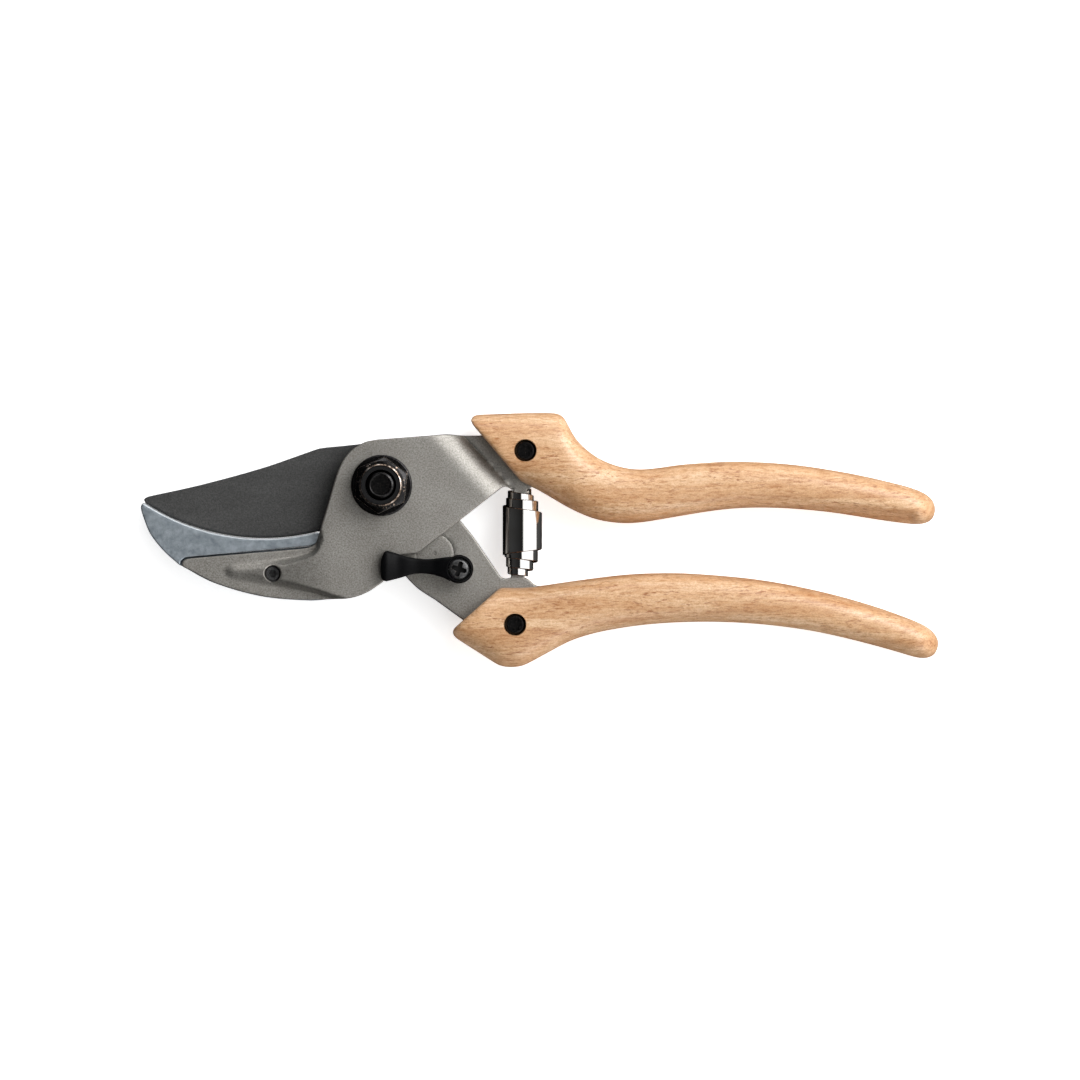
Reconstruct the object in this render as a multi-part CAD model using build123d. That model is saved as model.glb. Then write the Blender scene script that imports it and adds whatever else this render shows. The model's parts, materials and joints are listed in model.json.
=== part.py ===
"""Anvil pruning shears with wooden handles, lying flat and closed, in millimetres.

Two levers cross at a bolt. The anvil lever is a pressed plate: its jaw carries the soft anvil, and behind
the bolt it steps down to the tang of the upper handle. The blade lever lies under it, with the blade keyed
to its underside and the lower handle on its tang. A double volute spring pushes the handles apart, and a
swinging catch holds them shut.

Every shape is drawn in plan about the pivot axis, with z = 0 at the middle of both tangs, and is then moved
to the row frame, whose origin is the centre of the bottom of the bounding box.
"""
from build123d import *
from math import atan2, cos, degrees, radians, sin, sqrt
import os

# Place of the pivot axis, at mid-tang height, in the row frame.
PIVOT_PLACE = (-41.447, 14.293, 8.5)

# Layers, from the back of the shears to the front.
TANG_HALF = 1.5                 # both tangs and the blade lever are 3 mm plate
BLADE_BACK = -4.5
BLADE_FRONT = -TANG_HALF
PLATE_BACK = 2.0                # underside of the raised part of the anvil lever
PLATE_FRONT = 5.0
JAW_BACK = -1.6
JAW_FRONT = 1.4
ANVIL_BACK = -6.2
ANVIL_FRONT = 1.2
HANDLE_HALF = 8.5               # half the thickness of a wooden handle

# Clearances.
RUNNING = 0.05                  # radial, of a shaft in a bore that turns on it
FACE_GAP = 0.05                 # between flat faces that slide on each other
SEAT_GAP = 0.1                  # around a part that is only seated

# Pivot: an M8 bolt with a thicker bearing shank, a 16 mm washer and a nylon-insert lock nut.
BOLT_HEAD_RADIUS = 8.4
BOLT_SHANK_RADIUS = 5.0
BOLT_THREAD_RADIUS = 4.0
BOLT_END = 13.2
WASHER_RADIUS = 8.0
WASHER_THICKNESS = 1.6
NUT_ACROSS_FLATS = 13.0
NUT_HEX_HEIGHT = 5.0
NUT_COLLAR_RADIUS = 5.9
NUT_HEIGHT = 7.2
NUT_TURN = 23.8                 # degrees that the hexagon is turned from a corner along +X
BEARING_DISC_RADIUS = 9.0
LEVER_BOSS_RADIUS = 11.0        # of the blade lever round the pivot
INSERT_RADIUS = 4.95
INSERT_HEIGHT = 1.6

# Cutting edge: an arc in plan. The anvil's top follows it.
EDGE_CENTRE = (-31.2, 43.4)
EDGE_RADIUS = 57.2
EDGE_HEIGHT = -2.2              # z of the sharp edge
BACK_BEVEL = 6.0
FRONT_BEVEL = 0.7
ANVIL_GAP = 0.08

# Step from the raised plate down to the tang, square to a bend line.
BEND_DIRECTION = 43.0           # degrees in plan, the way the step descends
BEND_FOOT = 24.4                # distance along that direction at which the tang level begins
BEND_SLOPE = 50.0               # degrees
BEND_CREST_RADIUS = 6.0
BEND_INNER_RADIUS = 3.0

# Rivet that keys the blade to its lever.
RIVET = (13.8, -17.8)
RIVET_HEAD_RADIUS = 5.0
RIVET_SHANK_RADIUS = 2.5
RIVET_HEAD_HEIGHT = 0.8
RIVET_BOSS_RADIUS = 6.4         # of the blade's tail round the rivet
PIVOT_BOSS_RADIUS = 11.6        # of the blade round the pivot
CLOSING_HEAD_RADIUS = 4.2
CLOSING_HEAD_HEIGHT = 1.2

# Catch and its screw.
CATCH_PIVOT = (20.3, -21.9)
CATCH_BOSS_RADIUS = 3.6
CATCH_WASHER_RADIUS = 3.3
CATCH_WASHER_THICKNESS = 0.5
CATCH_ARM_BACK = 5.4
CATCH_ARM_FRONT = 8.4
CATCH_HEAD_FRONT = 9.4
CATCH_SCREW_SHANK = 2.0
CATCH_SCREW_HEAD = 2.75
CATCH_SCREW_SEAT = 6.0          # z of the underside of the screw's head
CATCH_SCREW_TOP = 7.9

# Spring: a strip wound into a cone at each end, about a straight axis in plan.
SPRING_TOP = (36.3, -1.3)
SPRING_BOTTOM = (35.6, -24.0)
SPRING_RADIUS = 5.2
SPRING_END_RADIUS = 2.9
SPRING_STRIP = 0.35
SPRING_BAND = 11.5              # width of the strip in the widest turn
SPRING_TURNS = 3                # narrower turns at each end
SPRING_OVERLAP = 0.55           # share of the half band at which the narrower turns begin
PEG_HALF_WIDTH = 1.8
PEG_REACH = 4.0

# Anvil screw and handle screws.
ANVIL_SCREW = (-28.7, -23.1)
ANVIL_SCREW_RADIUS = 2.0
UPPER_SCREW = (37.6, 9.1)
LOWER_SCREW = (34.9, -36.4)
HANDLE_SCREW_HOLE = 2.9         # counterbore in the wood
HANDLE_SCREW_HEAD = 2.75
HANDLE_SCREW_SHANK = 2.0
HANDLE_SCREW_TOP = 6.9
HANDLE_SCREW_SEAT = 4.4
HANDLE_NUT_BARREL = 2.6
HANDLE_CORNER_RADIUS = 5.5
HANDLE_DOME = 9.0               # length of the rounded far end
HANDLE_STATIONS = 34            # sections along a handle, before its rounded end
HALVINGS = 26                   # steps of the search for a height on an edge

# Screwdriver recesses and sockets.
RECESS_RADIUS = 1.75
RECESS_DEPTH = 1.3
BOLT_SOCKET = 5.0               # across flats
BOLT_SOCKET_DEPTH = 2.6
ANVIL_SCREW_TOP = 2.4
ANVIL_SCREW_END = -4.9
ANVIL_SCREW_SOCKET = 2.0        # across flats, and deep
NUT_SLOT = 0.9

FAR = 20.0                      # beyond every face, for cuts that go right through


# ---------------------------------------------------------------- helpers

def slab(face, low, high):
    """The plan face as a solid between two heights."""
    return extrude(Pos(0, 0, low) * face, high - low, dir=(0, 0, 1))


def rod(centre, radius, low, high):
    """An upright cylinder."""
    return Pos(*centre, low) * Cylinder(radius, high - low, align=(Align.CENTER, Align.CENTER, Align.MIN))


def plan(*pieces):
    """A plan face from lines and curves that close on themselves."""
    edges = [edge for piece in pieces for edge in piece.edges()]
    return Face(Wire(edges))


def polygon(*points):
    return plan(Polyline(*points, close=True))


def rounded(shape, radius, *corners):
    """A plan face with the corners nearest the given points rounded."""
    for corner in corners:
        nearest = shape.vertices().sort_by_distance((*corner, 0))[0]
        shape = fillet(nearest, radius)
    return shape


def hex_prism(across_flats, low, high, turn=0.0):
    hexagon = Rot(0, 0, turn) * RegularPolygon(across_flats / 2, 6, major_radius=False)
    return slab(hexagon, low, high)


def six_lobe(centre, radius, low, high):
    """A six-lobe screwdriver recess."""
    lobe = 0.26 * radius
    body = rod(centre, 0.82 * radius, low, high)
    for i in range(6):
        angle = radians(60 * i)
        at = (centre[0] + (radius - lobe) * cos(angle), centre[1] + (radius - lobe) * sin(angle))
        body += rod(at, lobe, low, high)
        middle = radians(60 * i + 30)
        notch = (centre[0] + 0.98 * radius * cos(middle), centre[1] + 0.98 * radius * sin(middle))
        body -= rod(notch, 0.24 * radius, low, high)
    return body


# ---------------------------------------------------------------- outlines in plan

def anvil_lever_outline():
    """Raised plate and tang of the anvil lever, without the jaw and the spring's peg."""
    return plan(
        Line((-17.0, -14.6), (-11.8, 3.0)),
        Spline((-11.8, 3.0), (-8.4, 8.9), (-1.2, 12.05), tangents=((5.2, 17.6), (15, 1.1))),
        Line((-1.2, 12.05), (13.8, 13.2)),
        Spline((13.8, 13.2), (17.6, 13.4), (21.6, 13.0), tangents=((15, 1.1), (1, 0))),
        Line((21.6, 13.0), (44.5, 14.6)),
        Spline((44.5, 14.6), (52.0, 7.0), (63.5, 1.2), tangents=((1, -0.3), (1, -0.1))),
        ThreePointArc((63.5, 1.2), (66.6, -2.4), (63.0, -5.6)),
        Spline((63.0, -5.6), (52.0, -3.2), (42.0, 2.2), tangents=((-1, -0.1), (-1, 0.9))),
        Line((42.0, 2.2), (38.6, -1.1)),
        Line((38.6, -1.1), (33.5, -0.9)),
        Line((33.5, -0.9), (32.2, -0.2)),
        Line((32.2, -0.2), (30.8, -1.0)),
        Line((30.8, -1.0), (10.4, -17.0)),
        Spline((10.4, -17.0), (8.4, -18.1), (5.6, -18.5), tangents=((-20.4, -16), (-1, 0))),
        Spline((5.6, -18.5), (3.3, -20.2), (2.6, -23.0), (0.4, -25.0), tangents=((-1, 0), (-1, -0.9))),
        Spline((0.4, -25.0), (-5.2, -28.7), (-12.2, -29.8), tangents=((-1, -0.9), (-1, 0))),
        Line((-12.2, -29.8), (-17.0, -14.6)),
    )


def jaw_outline():
    """Flange of the jaw, which overlaps the raised plate at its right end."""
    return plan(
        Spline((-52.3, -21.4), (-44.2, -25.5), (-32.0, -28.95), (-20.0, -30.05), (-9.0, -29.5),
               tangents=((1, -0.62), (1, 0.12))),
        Line((-9.0, -29.5), (-9.0, -16.0)),
        Line((-9.0, -16.0), (-17.4, -16.0)),
        Line((-17.4, -16.0), (-50.9, -19.1)),
        Spline((-50.9, -19.1), (-52.4, -20.0), (-52.3, -21.4), tangents=((-1, -0.08), (1, -0.62))),
    )


def rib_outline():
    """Pressed rib that runs out along the jaw from the raised plate."""
    return plan(
        Spline((-39.6, -20.8), (-28.0, -19.6), (-19.5, -17.9), (-16.2, -14.0),
               tangents=((1, 0.09), (0.35, 1))),
        Line((-16.2, -14.0), (-9.0, -14.0)),
        Line((-9.0, -14.0), (-6.0, -20.0)),
        Line((-6.0, -20.0), (-6.5, -28.6)),
        Line((-6.5, -28.6), (-12.0, -29.5)),
        Spline((-12.0, -29.5), (-20.0, -27.6), (-39.6, -24.4), tangents=((-1, 0.2), (-1, 0.12))),
        ThreePointArc((-39.6, -24.4), (-41.4, -22.6), (-39.6, -20.8)),
    )


def edge_point(x):
    """Point of the cutting edge at this x."""
    cx, cy = EDGE_CENTRE
    return (x, cy - sqrt(EDGE_RADIUS**2 - (x - cx) ** 2))


def blade_outline():
    """Blade from its tip to the boss around the pivot."""
    tip, heel = edge_point(-62.6), edge_point(-17.0)
    return plan(
        ThreePointArc(tip, edge_point(-40.0), heel),
        Line(heel, (4.0, -11.0)),
        Line((4.0, -11.0), (2.0, 11.5)),
        Line((2.0, 11.5), (-3.0, 11.3)),
        Line((-3.0, 11.3), (-17.0, 9.9)),
        Spline((-17.0, 9.9), (-31.0, 5.0), (-47.0, 0.45), (-61.4, -2.75), tangents=((-1, -0.2), (-1, -0.2))),
        Spline((-61.4, -2.75), (-62.7, -3.5), tip, tangents=((-1, -0.2), (0.35, -1))),
    )


def anvil_outline():
    """The whole anvil, part of which lies behind the jaw."""
    cx, cy = EDGE_CENTRE
    radius = EDGE_RADIUS + ANVIL_GAP

    def top(x):
        return (x, cy - sqrt(radius**2 - (x - cx) ** 2))

    nose, toe, heel = (-63.4, -5.7), (-53.2, -20.9), (-14.0, -29.9)
    return plan(
        ThreePointArc(top(-62.5), top(-40.0), top(-17.8)),
        Bezier(top(-17.8), (-17.2, -12.3), (-17.3, -13.4), (-17.4, -15.4)),
        Line((-17.4, -15.4), (-13.4, -25.0)),
        Line((-13.4, -25.0), heel),
        Spline(heel, (-20.0, -30.2), (-32.0, -29.1), (-44.2, -25.65), toe),
        Bezier(toe, (-58.6, -16.9), (-61.9, -11.6), nose),
        Line(nose, top(-62.5)),
    )


def anvil_pocket():
    """Room for the jaw in the front of the anvil."""
    return polygon((-17.9, -15.3), (-19.0, -15.95), (-50.9, -18.8), (-52.5, -19.3), (-53.0, -20.3),
                   (-53.4, -22.0), (-53.4, -40.0), (0.0, -40.0), (0.0, -15.3))


def blade_lever_outline():
    """Lever plate from beside the pivot boss to the end of the lower tang, without the spring's peg."""
    return plan(
        Line((-9.0, -6.3), (8.0, 7.6)),
        Spline((8.0, 7.6), (20.4, -9.1), (24.6, -14.2), tangents=((1, -0.8), (7, -10.2))),
        Line((24.6, -14.2), (30.6, -23.2)),
        Spline((30.6, -23.2), (31.6, -24.4), (33.2, -24.25), tangents=((7, -10.2), (1, 0.2))),
        Line((33.2, -24.25), (38.0, -24.4)),
        Bezier((38.0, -24.4), (39.6, -24.6), (39.2, -26.2), (42.2, -26.5)),
        Line((42.2, -26.5), (46.0, -28.6)),
        Line((46.0, -28.6), (61.5, -27.4)),
        ThreePointArc((61.5, -27.4), (64.8, -30.8), (61.5, -34.2)),
        Line((61.5, -34.2), (47.0, -37.6)),
        Line((47.0, -37.6), (35.0, -43.6)),
        Line((35.0, -43.6), (21.3, -35.4)),
        Line((21.3, -35.4), (9.8, -27.6)),
        Spline((9.8, -27.6), (7.4, -25.4), (5.4, -22.6), tangents=((-11.5, 7.8), (-0.6, 1))),
        Line((5.4, -22.6), (-9.0, -6.3)),
    )


def catch_outline():
    """Arm of the catch, from the screw's boss to the flared head."""
    return plan(
        Spline((19.6, -18.5), (12.6, -19.2), (6.0, -18.4), (1.4, -17.1), tangents=((-1, -0.1), (-1, 0.4))),
        Spline((1.4, -17.1), (0.1, -19.0), (-0.2, -21.6), (0.0, -24.0), (1.2, -25.1),
               tangents=((-1, -0.1), (1, -0.25))),
        Spline((1.2, -25.1), (8.6, -23.2), (14.4, -23.6), (19.0, -25.3), tangents=((1, 0.2), (1, -0.45))),
        Line((19.0, -25.3), (19.6, -18.5)),
    )


def spring_peg(seat, reach):
    """Flat peg of a lever that stands inside one end of the spring; reach is signed along Y."""
    root = 3.0 if reach < 0 else -3.0
    middle = seat[1] + (root + reach) / 2
    peg = Pos(seat[0], middle) * Rectangle(2 * PEG_HALF_WIDTH, abs(reach - root))
    return slab(peg, -TANG_HALF, TANG_HALF)


# ---------------------------------------------------------------- anvil side

def bend_profile():
    """The stepped plate as a solid band, square to the bend line and far longer than the lever."""
    slope = radians(BEND_SLOPE)
    thickness = PLATE_FRONT - PLATE_BACK
    drop = PLATE_FRONT - TANG_HALF
    crest = BEND_FOOT - drop / (sin(slope) / cos(slope))
    back_shift = thickness / sin(slope)
    back_crest = BEND_FOOT - back_shift - (PLATE_BACK - TANG_HALF) * cos(slope) / sin(slope)
    back_foot = BEND_FOOT - back_shift + 2 * TANG_HALF * cos(slope) / sin(slope)
    far, wide = 90.0, 60.0
    face = polygon((-far, PLATE_FRONT), (crest, PLATE_FRONT), (BEND_FOOT, TANG_HALF), (far, TANG_HALF),
                   (far, -TANG_HALF), (back_foot, -TANG_HALF), (back_crest, PLATE_BACK), (-far, PLATE_BACK))
    face = rounded(face, BEND_CREST_RADIUS, (crest, PLATE_FRONT))
    face = rounded(face, BEND_INNER_RADIUS, (back_crest, PLATE_BACK), (back_foot, -TANG_HALF))
    face = rounded(face, 0.4, (BEND_FOOT, TANG_HALF))
    band = extrude(Plane.XZ * face, wide, both=True)
    return Rot(0, 0, BEND_DIRECTION) * band


def sloped_cap(low_x, low_z, high_x, high_z):
    """Everything under a plane that climbs along X, to trim the rib with."""
    run = high_x - low_x
    left, right = -80.0, 20.0
    climb = (high_z - low_z) / run
    face = polygon((left, -20.0), (right, -20.0), (right, low_z + climb * (right - low_x)),
                   (left, low_z + climb * (left - low_x)))
    return extrude(Plane.XZ * face, 80.0, both=True)


def make_anvil_lever():
    band = bend_profile() & slab(anvil_lever_outline(), -FAR, FAR)
    flange = slab(jaw_outline(), JAW_BACK, JAW_FRONT)
    rib = slab(rib_outline(), JAW_BACK, PLATE_FRONT) & sloped_cap(-41.4, 2.0, -15.0, PLATE_FRONT)
    rib &= slab(jaw_outline() + anvil_lever_outline(), -FAR, FAR)
    lever = band + flange + rib + spring_peg(SPRING_TOP, -PEG_REACH)
    lever -= rod((0, 0), BOLT_THREAD_RADIUS + SEAT_GAP, -FAR, FAR)
    lever -= rod(ANVIL_SCREW, ANVIL_SCREW_RADIUS + RUNNING, -FAR, FAR)
    lever -= rod(UPPER_SCREW, HANDLE_NUT_BARREL + SEAT_GAP, -FAR, FAR)
    return lever


def make_anvil():
    """Soft block: full thickness above the jaw flange, thinner behind it."""
    anvil = slab(anvil_outline(), ANVIL_BACK, ANVIL_FRONT)
    anvil -= slab(anvil_pocket(), JAW_BACK - FACE_GAP, FAR)
    return anvil - rod(ANVIL_SCREW, ANVIL_SCREW_RADIUS + RUNNING, ANVIL_SCREW_END - 0.1, FAR)


def make_anvil_screw():
    """Socket set screw through the jaw into the anvil."""
    screw = rod(ANVIL_SCREW, ANVIL_SCREW_RADIUS, ANVIL_SCREW_END, ANVIL_SCREW_TOP)
    screw = chamfer(screw.faces().sort_by(Axis.Z)[-1].edges(), 0.35)
    socket = hex_prism(ANVIL_SCREW_SOCKET, ANVIL_SCREW_TOP - ANVIL_SCREW_SOCKET, FAR)
    return screw - Pos(*ANVIL_SCREW) * socket


def make_pivot_bolt():
    head_low = -HANDLE_HALF
    head_high = BLADE_BACK - FACE_GAP
    head = rod((0, 0), BOLT_HEAD_RADIUS, head_low, head_high)
    head = chamfer(head.faces().sort_by(Axis.Z)[0].edges(), 0.8)
    bolt = head + rod((0, 0), BOLT_SHANK_RADIUS, head_high, PLATE_BACK)
    bolt += rod((0, 0), BOLT_THREAD_RADIUS, PLATE_BACK, BOLT_END)
    bolt = chamfer(bolt.faces().sort_by(Axis.Z)[-1].edges(), 0.7)
    return bolt - hex_prism(BOLT_SOCKET, -FAR, head_low + BOLT_SOCKET_DEPTH)


def make_pivot_washer():
    washer = rod((0, 0), WASHER_RADIUS, PLATE_FRONT, PLATE_FRONT + WASHER_THICKNESS)
    washer = fillet(washer.faces().sort_by(Axis.Z)[-1].edges(), 0.5)
    return washer - rod((0, 0), BOLT_THREAD_RADIUS + SEAT_GAP, 0, FAR)


def make_pivot_nut():
    """Hexagon with chamfered corners under a round collar that holds the nylon ring."""
    low = PLATE_FRONT + WASHER_THICKNESS
    shoulder = low + NUT_HEX_HEIGHT
    hexagon = hex_prism(NUT_ACROSS_FLATS, low, shoulder, NUT_TURN)
    corner = NUT_ACROSS_FLATS / sqrt(3)
    cone = rod((0, 0), corner + 0.1, low, shoulder)
    cone = chamfer(cone.faces().sort_by(Axis.Z)[-1].edges(), 0.7, 1.3)
    collar = rod((0, 0), NUT_COLLAR_RADIUS, low, low + NUT_HEIGHT)
    collar = fillet(collar.faces().sort_by(Axis.Z)[-1].edges(), 0.9)
    nut = (hexagon & cone) + collar
    nut -= rod((0, 0), BOLT_THREAD_RADIUS + RUNNING, 0, FAR)
    return nut - rod((0, 0), INSERT_RADIUS + 0.05, shoulder + 0.2, shoulder + INSERT_HEIGHT + 0.3)


def make_nut_insert():
    """Nylon ring inside the nut's collar."""
    low = PLATE_FRONT + WASHER_THICKNESS + NUT_HEX_HEIGHT + 0.25
    ring = rod((0, 0), INSERT_RADIUS, low, low + INSERT_HEIGHT)
    return ring - rod((0, 0), BOLT_THREAD_RADIUS + RUNNING, 0, FAR)


def make_bearing_disc():
    """Thin bronze disc between the two levers."""
    disc = rod((0, 0), BEARING_DISC_RADIUS, TANG_HALF + FACE_GAP, PLATE_BACK)
    return disc - rod((0, 0), BOLT_SHANK_RADIUS + RUNNING, -FAR, FAR)


# ---------------------------------------------------------------- blade side

def make_blade_lever():
    lever = slab(blade_lever_outline(), -TANG_HALF, TANG_HALF)
    lever += rod((0, 0), LEVER_BOSS_RADIUS, -TANG_HALF, TANG_HALF)
    lever += spring_peg(SPRING_BOTTOM, PEG_REACH)
    lever -= rod((0, 0), BOLT_SHANK_RADIUS + RUNNING, -FAR, FAR)
    lever -= rod(RIVET, RIVET_HEAD_RADIUS + SEAT_GAP, TANG_HALF - RIVET_HEAD_HEIGHT, FAR)
    lever -= rod(RIVET, RIVET_SHANK_RADIUS + RUNNING, -FAR, FAR)
    lever -= rod(CATCH_PIVOT, CATCH_SCREW_SHANK + RUNNING, -FAR, FAR)
    lever -= rod(LOWER_SCREW, HANDLE_NUT_BARREL + SEAT_GAP, -FAR, FAR)
    return lever


def make_blade():
    """Blade with a wide bevel on its back and a narrow one on its front, and a tail under the lever."""
    cx, cy = EDGE_CENTRE
    section = polygon((0, BLADE_BACK), (EDGE_RADIUS - BACK_BEVEL, BLADE_BACK), (EDGE_RADIUS, EDGE_HEIGHT),
                      (EDGE_RADIUS - FRONT_BEVEL, BLADE_FRONT), (0, BLADE_FRONT))
    ground = Pos(cx, cy, 0) * revolve(Plane.XZ * section, Axis.Z)
    body = slab(blade_outline(), BLADE_BACK, BLADE_FRONT) & ground
    rivet_boss = Pos(*RIVET) * Circle(RIVET_BOSS_RADIUS)
    tail_face = make_hull(Circle(PIVOT_BOSS_RADIUS).edges() + rivet_boss.edges())
    blade = body + slab(tail_face, BLADE_BACK, BLADE_FRONT)
    blade -= rod((0, 0), BOLT_SHANK_RADIUS + RUNNING, -FAR, FAR)
    return blade - rod(RIVET, RIVET_SHANK_RADIUS + RUNNING, -FAR, FAR)


def make_blade_rivet():
    rivet = rod(RIVET, RIVET_HEAD_RADIUS, TANG_HALF - RIVET_HEAD_HEIGHT, TANG_HALF)
    rivet = fillet(rivet.faces().sort_by(Axis.Z)[-1].edges(), 0.3)
    rivet += rod(RIVET, RIVET_SHANK_RADIUS, BLADE_BACK, TANG_HALF - RIVET_HEAD_HEIGHT)
    closing_head = rod(RIVET, CLOSING_HEAD_RADIUS, BLADE_BACK - CLOSING_HEAD_HEIGHT, BLADE_BACK)
    return rivet + chamfer(closing_head.faces().sort_by(Axis.Z)[0].edges(), 0.5)


# ---------------------------------------------------------------- catch

def make_catch():
    """Waisted arm with a raised thumb ridge at its head, on a round boss."""
    arm = slab(catch_outline(), CATCH_ARM_BACK, CATCH_ARM_FRONT)
    ridge = slab(catch_outline(), CATCH_ARM_FRONT, CATCH_HEAD_FRONT)
    ridge &= Pos(0, -21, CATCH_ARM_FRONT) * Box(4.4, 20, 4, align=(Align.CENTER, Align.CENTER, Align.MIN))
    boss_back = TANG_HALF + CATCH_WASHER_THICKNESS + FACE_GAP
    boss = rod(CATCH_PIVOT, CATCH_BOSS_RADIUS, boss_back, CATCH_ARM_FRONT)
    catch = arm + ridge + boss
    catch -= rod(CATCH_PIVOT, CATCH_SCREW_SHANK + RUNNING, 0, FAR)
    return catch - rod(CATCH_PIVOT, CATCH_SCREW_HEAD + 0.15, CATCH_SCREW_SEAT, FAR)


def make_catch_washer():
    """Spring washer under the catch's boss."""
    washer = rod(CATCH_PIVOT, CATCH_WASHER_RADIUS, TANG_HALF, TANG_HALF + CATCH_WASHER_THICKNESS)
    return washer - rod(CATCH_PIVOT, CATCH_SCREW_SHANK + RUNNING, 0, FAR)


def make_catch_screw():
    screw = rod(CATCH_PIVOT, CATCH_SCREW_HEAD, CATCH_SCREW_SEAT + 0.05, CATCH_SCREW_TOP)
    screw = fillet(screw.faces().sort_by(Axis.Z)[-1].edges(), 0.6)
    screw += rod(CATCH_PIVOT, CATCH_SCREW_SHANK, -TANG_HALF, CATCH_SCREW_SEAT + 0.05)
    return screw - six_lobe(CATCH_PIVOT, RECESS_RADIUS, CATCH_SCREW_TOP - RECESS_DEPTH, FAR)


# ---------------------------------------------------------------- spring

def spring_ring(radius, low, high):
    """One turn of the strip, about Z."""
    return rod((0, 0), radius, low, high) - rod((0, 0), radius - SPRING_STRIP, low, high)


def spring_cone(reach):
    """Three narrower turns that telescope out of the widest one, each joined to the last by a flange."""
    pitch = (SPRING_RADIUS - SPRING_END_RADIUS) / SPRING_TURNS
    start = SPRING_OVERLAP * SPRING_BAND / 2
    step = (reach - SPRING_BAND / 2) / SPRING_TURNS
    cone = None
    for turn in range(1, SPRING_TURNS + 1):
        radius = SPRING_RADIUS - pitch * turn
        ring = spring_ring(radius, start, SPRING_BAND / 2 + step * turn)
        flange = rod((0, 0), radius + pitch, start, start + SPRING_STRIP)
        flange -= rod((0, 0), radius - SPRING_STRIP, start, start + SPRING_STRIP)
        ring += flange
        cone = ring if cone is None else cone + ring
    return cone


def make_spring():
    """Wide middle turn with a cone of narrower turns telescoped out of each end."""
    length = SPRING_TOP[1] - SPRING_BOTTOM[1]
    lean = degrees(atan2(SPRING_TOP[0] - SPRING_BOTTOM[0], length))
    centre = ((SPRING_TOP[0] + SPRING_BOTTOM[0]) / 2, (SPRING_TOP[1] + SPRING_BOTTOM[1]) / 2)
    cone = spring_cone(length / 2)
    shell = spring_ring(SPRING_RADIUS, -SPRING_BAND / 2, SPRING_BAND / 2) + cone + mirror(cone, Plane.XY)
    return Pos(*centre, 0) * Rot(0, 0, -lean) * Rot(-90, 0, 0) * shell


# ---------------------------------------------------------------- handles

def upper_handle_edges():
    """Top and bottom edge of the upper handle: flat thumb rest, step, then the long bowed grip."""
    end = (145.4, -6.3)
    top = [
        Line((21.0, 18.4), (45.0, 19.2)),
        Bezier((45.0, 19.2), (49.2, 19.4), (48.2, 14.6), (51.6, 11.4)),
        Spline((51.6, 11.4), (57.4, 6.9), (66.6, 4.3), (78.0, 5.4), (91.0, 6.3), (107.0, 5.6), (124.0, 3.1),
               (141.0, -1.3)),
        Bezier((141.0, -1.3), (143.6, -2.2), (145.4, -3.8), end),
    ]
    bottom = [
        Line((21.0, 3.0), (36.6, 0.6)),
        Spline((36.6, 0.6), (40.4, -0.75), (52.0, -7.4), (64.4, -9.9), (84.0, -7.0), (101.0, -5.8),
               (122.0, -7.5), (138.0, -10.0)),
        Bezier((138.0, -10.0), (142.4, -10.6), (145.4, -9.6), end),
    ]
    return top, bottom


def lower_handle_edges():
    """Top and bottom edge of the lower handle: arrow-shaped head, then the long bowed grip."""
    end = (146.6, -41.6)
    top = [
        Line((17.0, -26.75), (37.0, -26.75)),
        Spline((37.0, -26.75), (50.0, -25.1), (62.0, -23.6), (73.0, -23.0), (86.0, -23.4), (103.0, -25.4),
               (122.0, -29.6), (142.0, -36.7)),
        Bezier((142.0, -36.7), (144.8, -37.8), (146.6, -39.2), end),
    ]
    bottom = [
        Line((17.0, -38.75), (28.6, -46.2)),
        Bezier((28.6, -46.2), (32.6, -48.7), (35.2, -48.2), (38.8, -46.5)),
        Spline((38.8, -46.5), (51.0, -40.2), (67.0, -36.9), (87.0, -35.8), (106.0, -37.1), (126.0, -41.1),
               (138.0, -44.5)),
        Bezier((138.0, -44.5), (142.6, -45.9), (146.6, -45.2), end),
    ]
    return top, bottom


def upper_handle_front():
    """Cuts the upper handle's slanted front face, with its top corner rounded."""
    face = polygon((10.0, 60.0), (10.0, -40.0), (71.6, -40.0), (36.9, 0.8), (23.0, 17.1), (23.0, 60.0))
    return rounded(face, 2.0, (23.0, 17.1))


def lower_handle_front():
    """Cuts the lower handle's slanted front face, down to a blunt tip."""
    face = polygon((-2.3, -56.5), (53.2, -7.0), (5.0, 20.0))
    tip = polygon((18.4, -60.0), (18.4, 0.0), (0.0, 0.0), (0.0, -60.0))
    return face + tip


def height_at(pieces, x):
    """Height at x of an edge made of pieces that run from left to right."""
    piece = [p for p in pieces if (p @ 0).X <= x][-1]
    low, high = 0.0, 1.0
    for _ in range(HALVINGS):
        middle = (low + high) / 2
        if (piece @ middle).X < x:
            low = middle
        else:
            high = middle
    return (piece @ low).Y


def handle_section(x, low, high, half):
    """Rounded cross-section of a handle, square to its length."""
    radius = min(HANDLE_CORNER_RADIUS, 0.46 * (high - low), 0.9 * half)
    across = Plane(origin=(x, (low + high) / 2, 0), x_dir=(0, 1, 0), z_dir=(1, 0, 0))
    return across * RectangleRounded(high - low, 2 * half, radius)


def handle_body(edges):
    """Solid lofted between a handle's top and bottom edge, domed at its far end."""
    top, bottom = edges
    start = (top[0] @ 0).X + 0.5
    end = (top[-1] @ 1).X
    dome = end - HANDLE_DOME
    straight = [start + (dome - start) * i / HANDLE_STATIONS for i in range(HANDLE_STATIONS)]
    curved = [end - HANDLE_DOME * (1 - sin(radians(15 * i))) for i in range(6)]
    sections = []
    for x in straight + curved:
        run = max(0.0, (x - dome) / HANDLE_DOME)
        half = HANDLE_HALF * sqrt(1 - run**2.6)
        sections.append(handle_section(x, height_at(bottom, x), height_at(top, x), half))
    return loft(sections, ruled=True)


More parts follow.
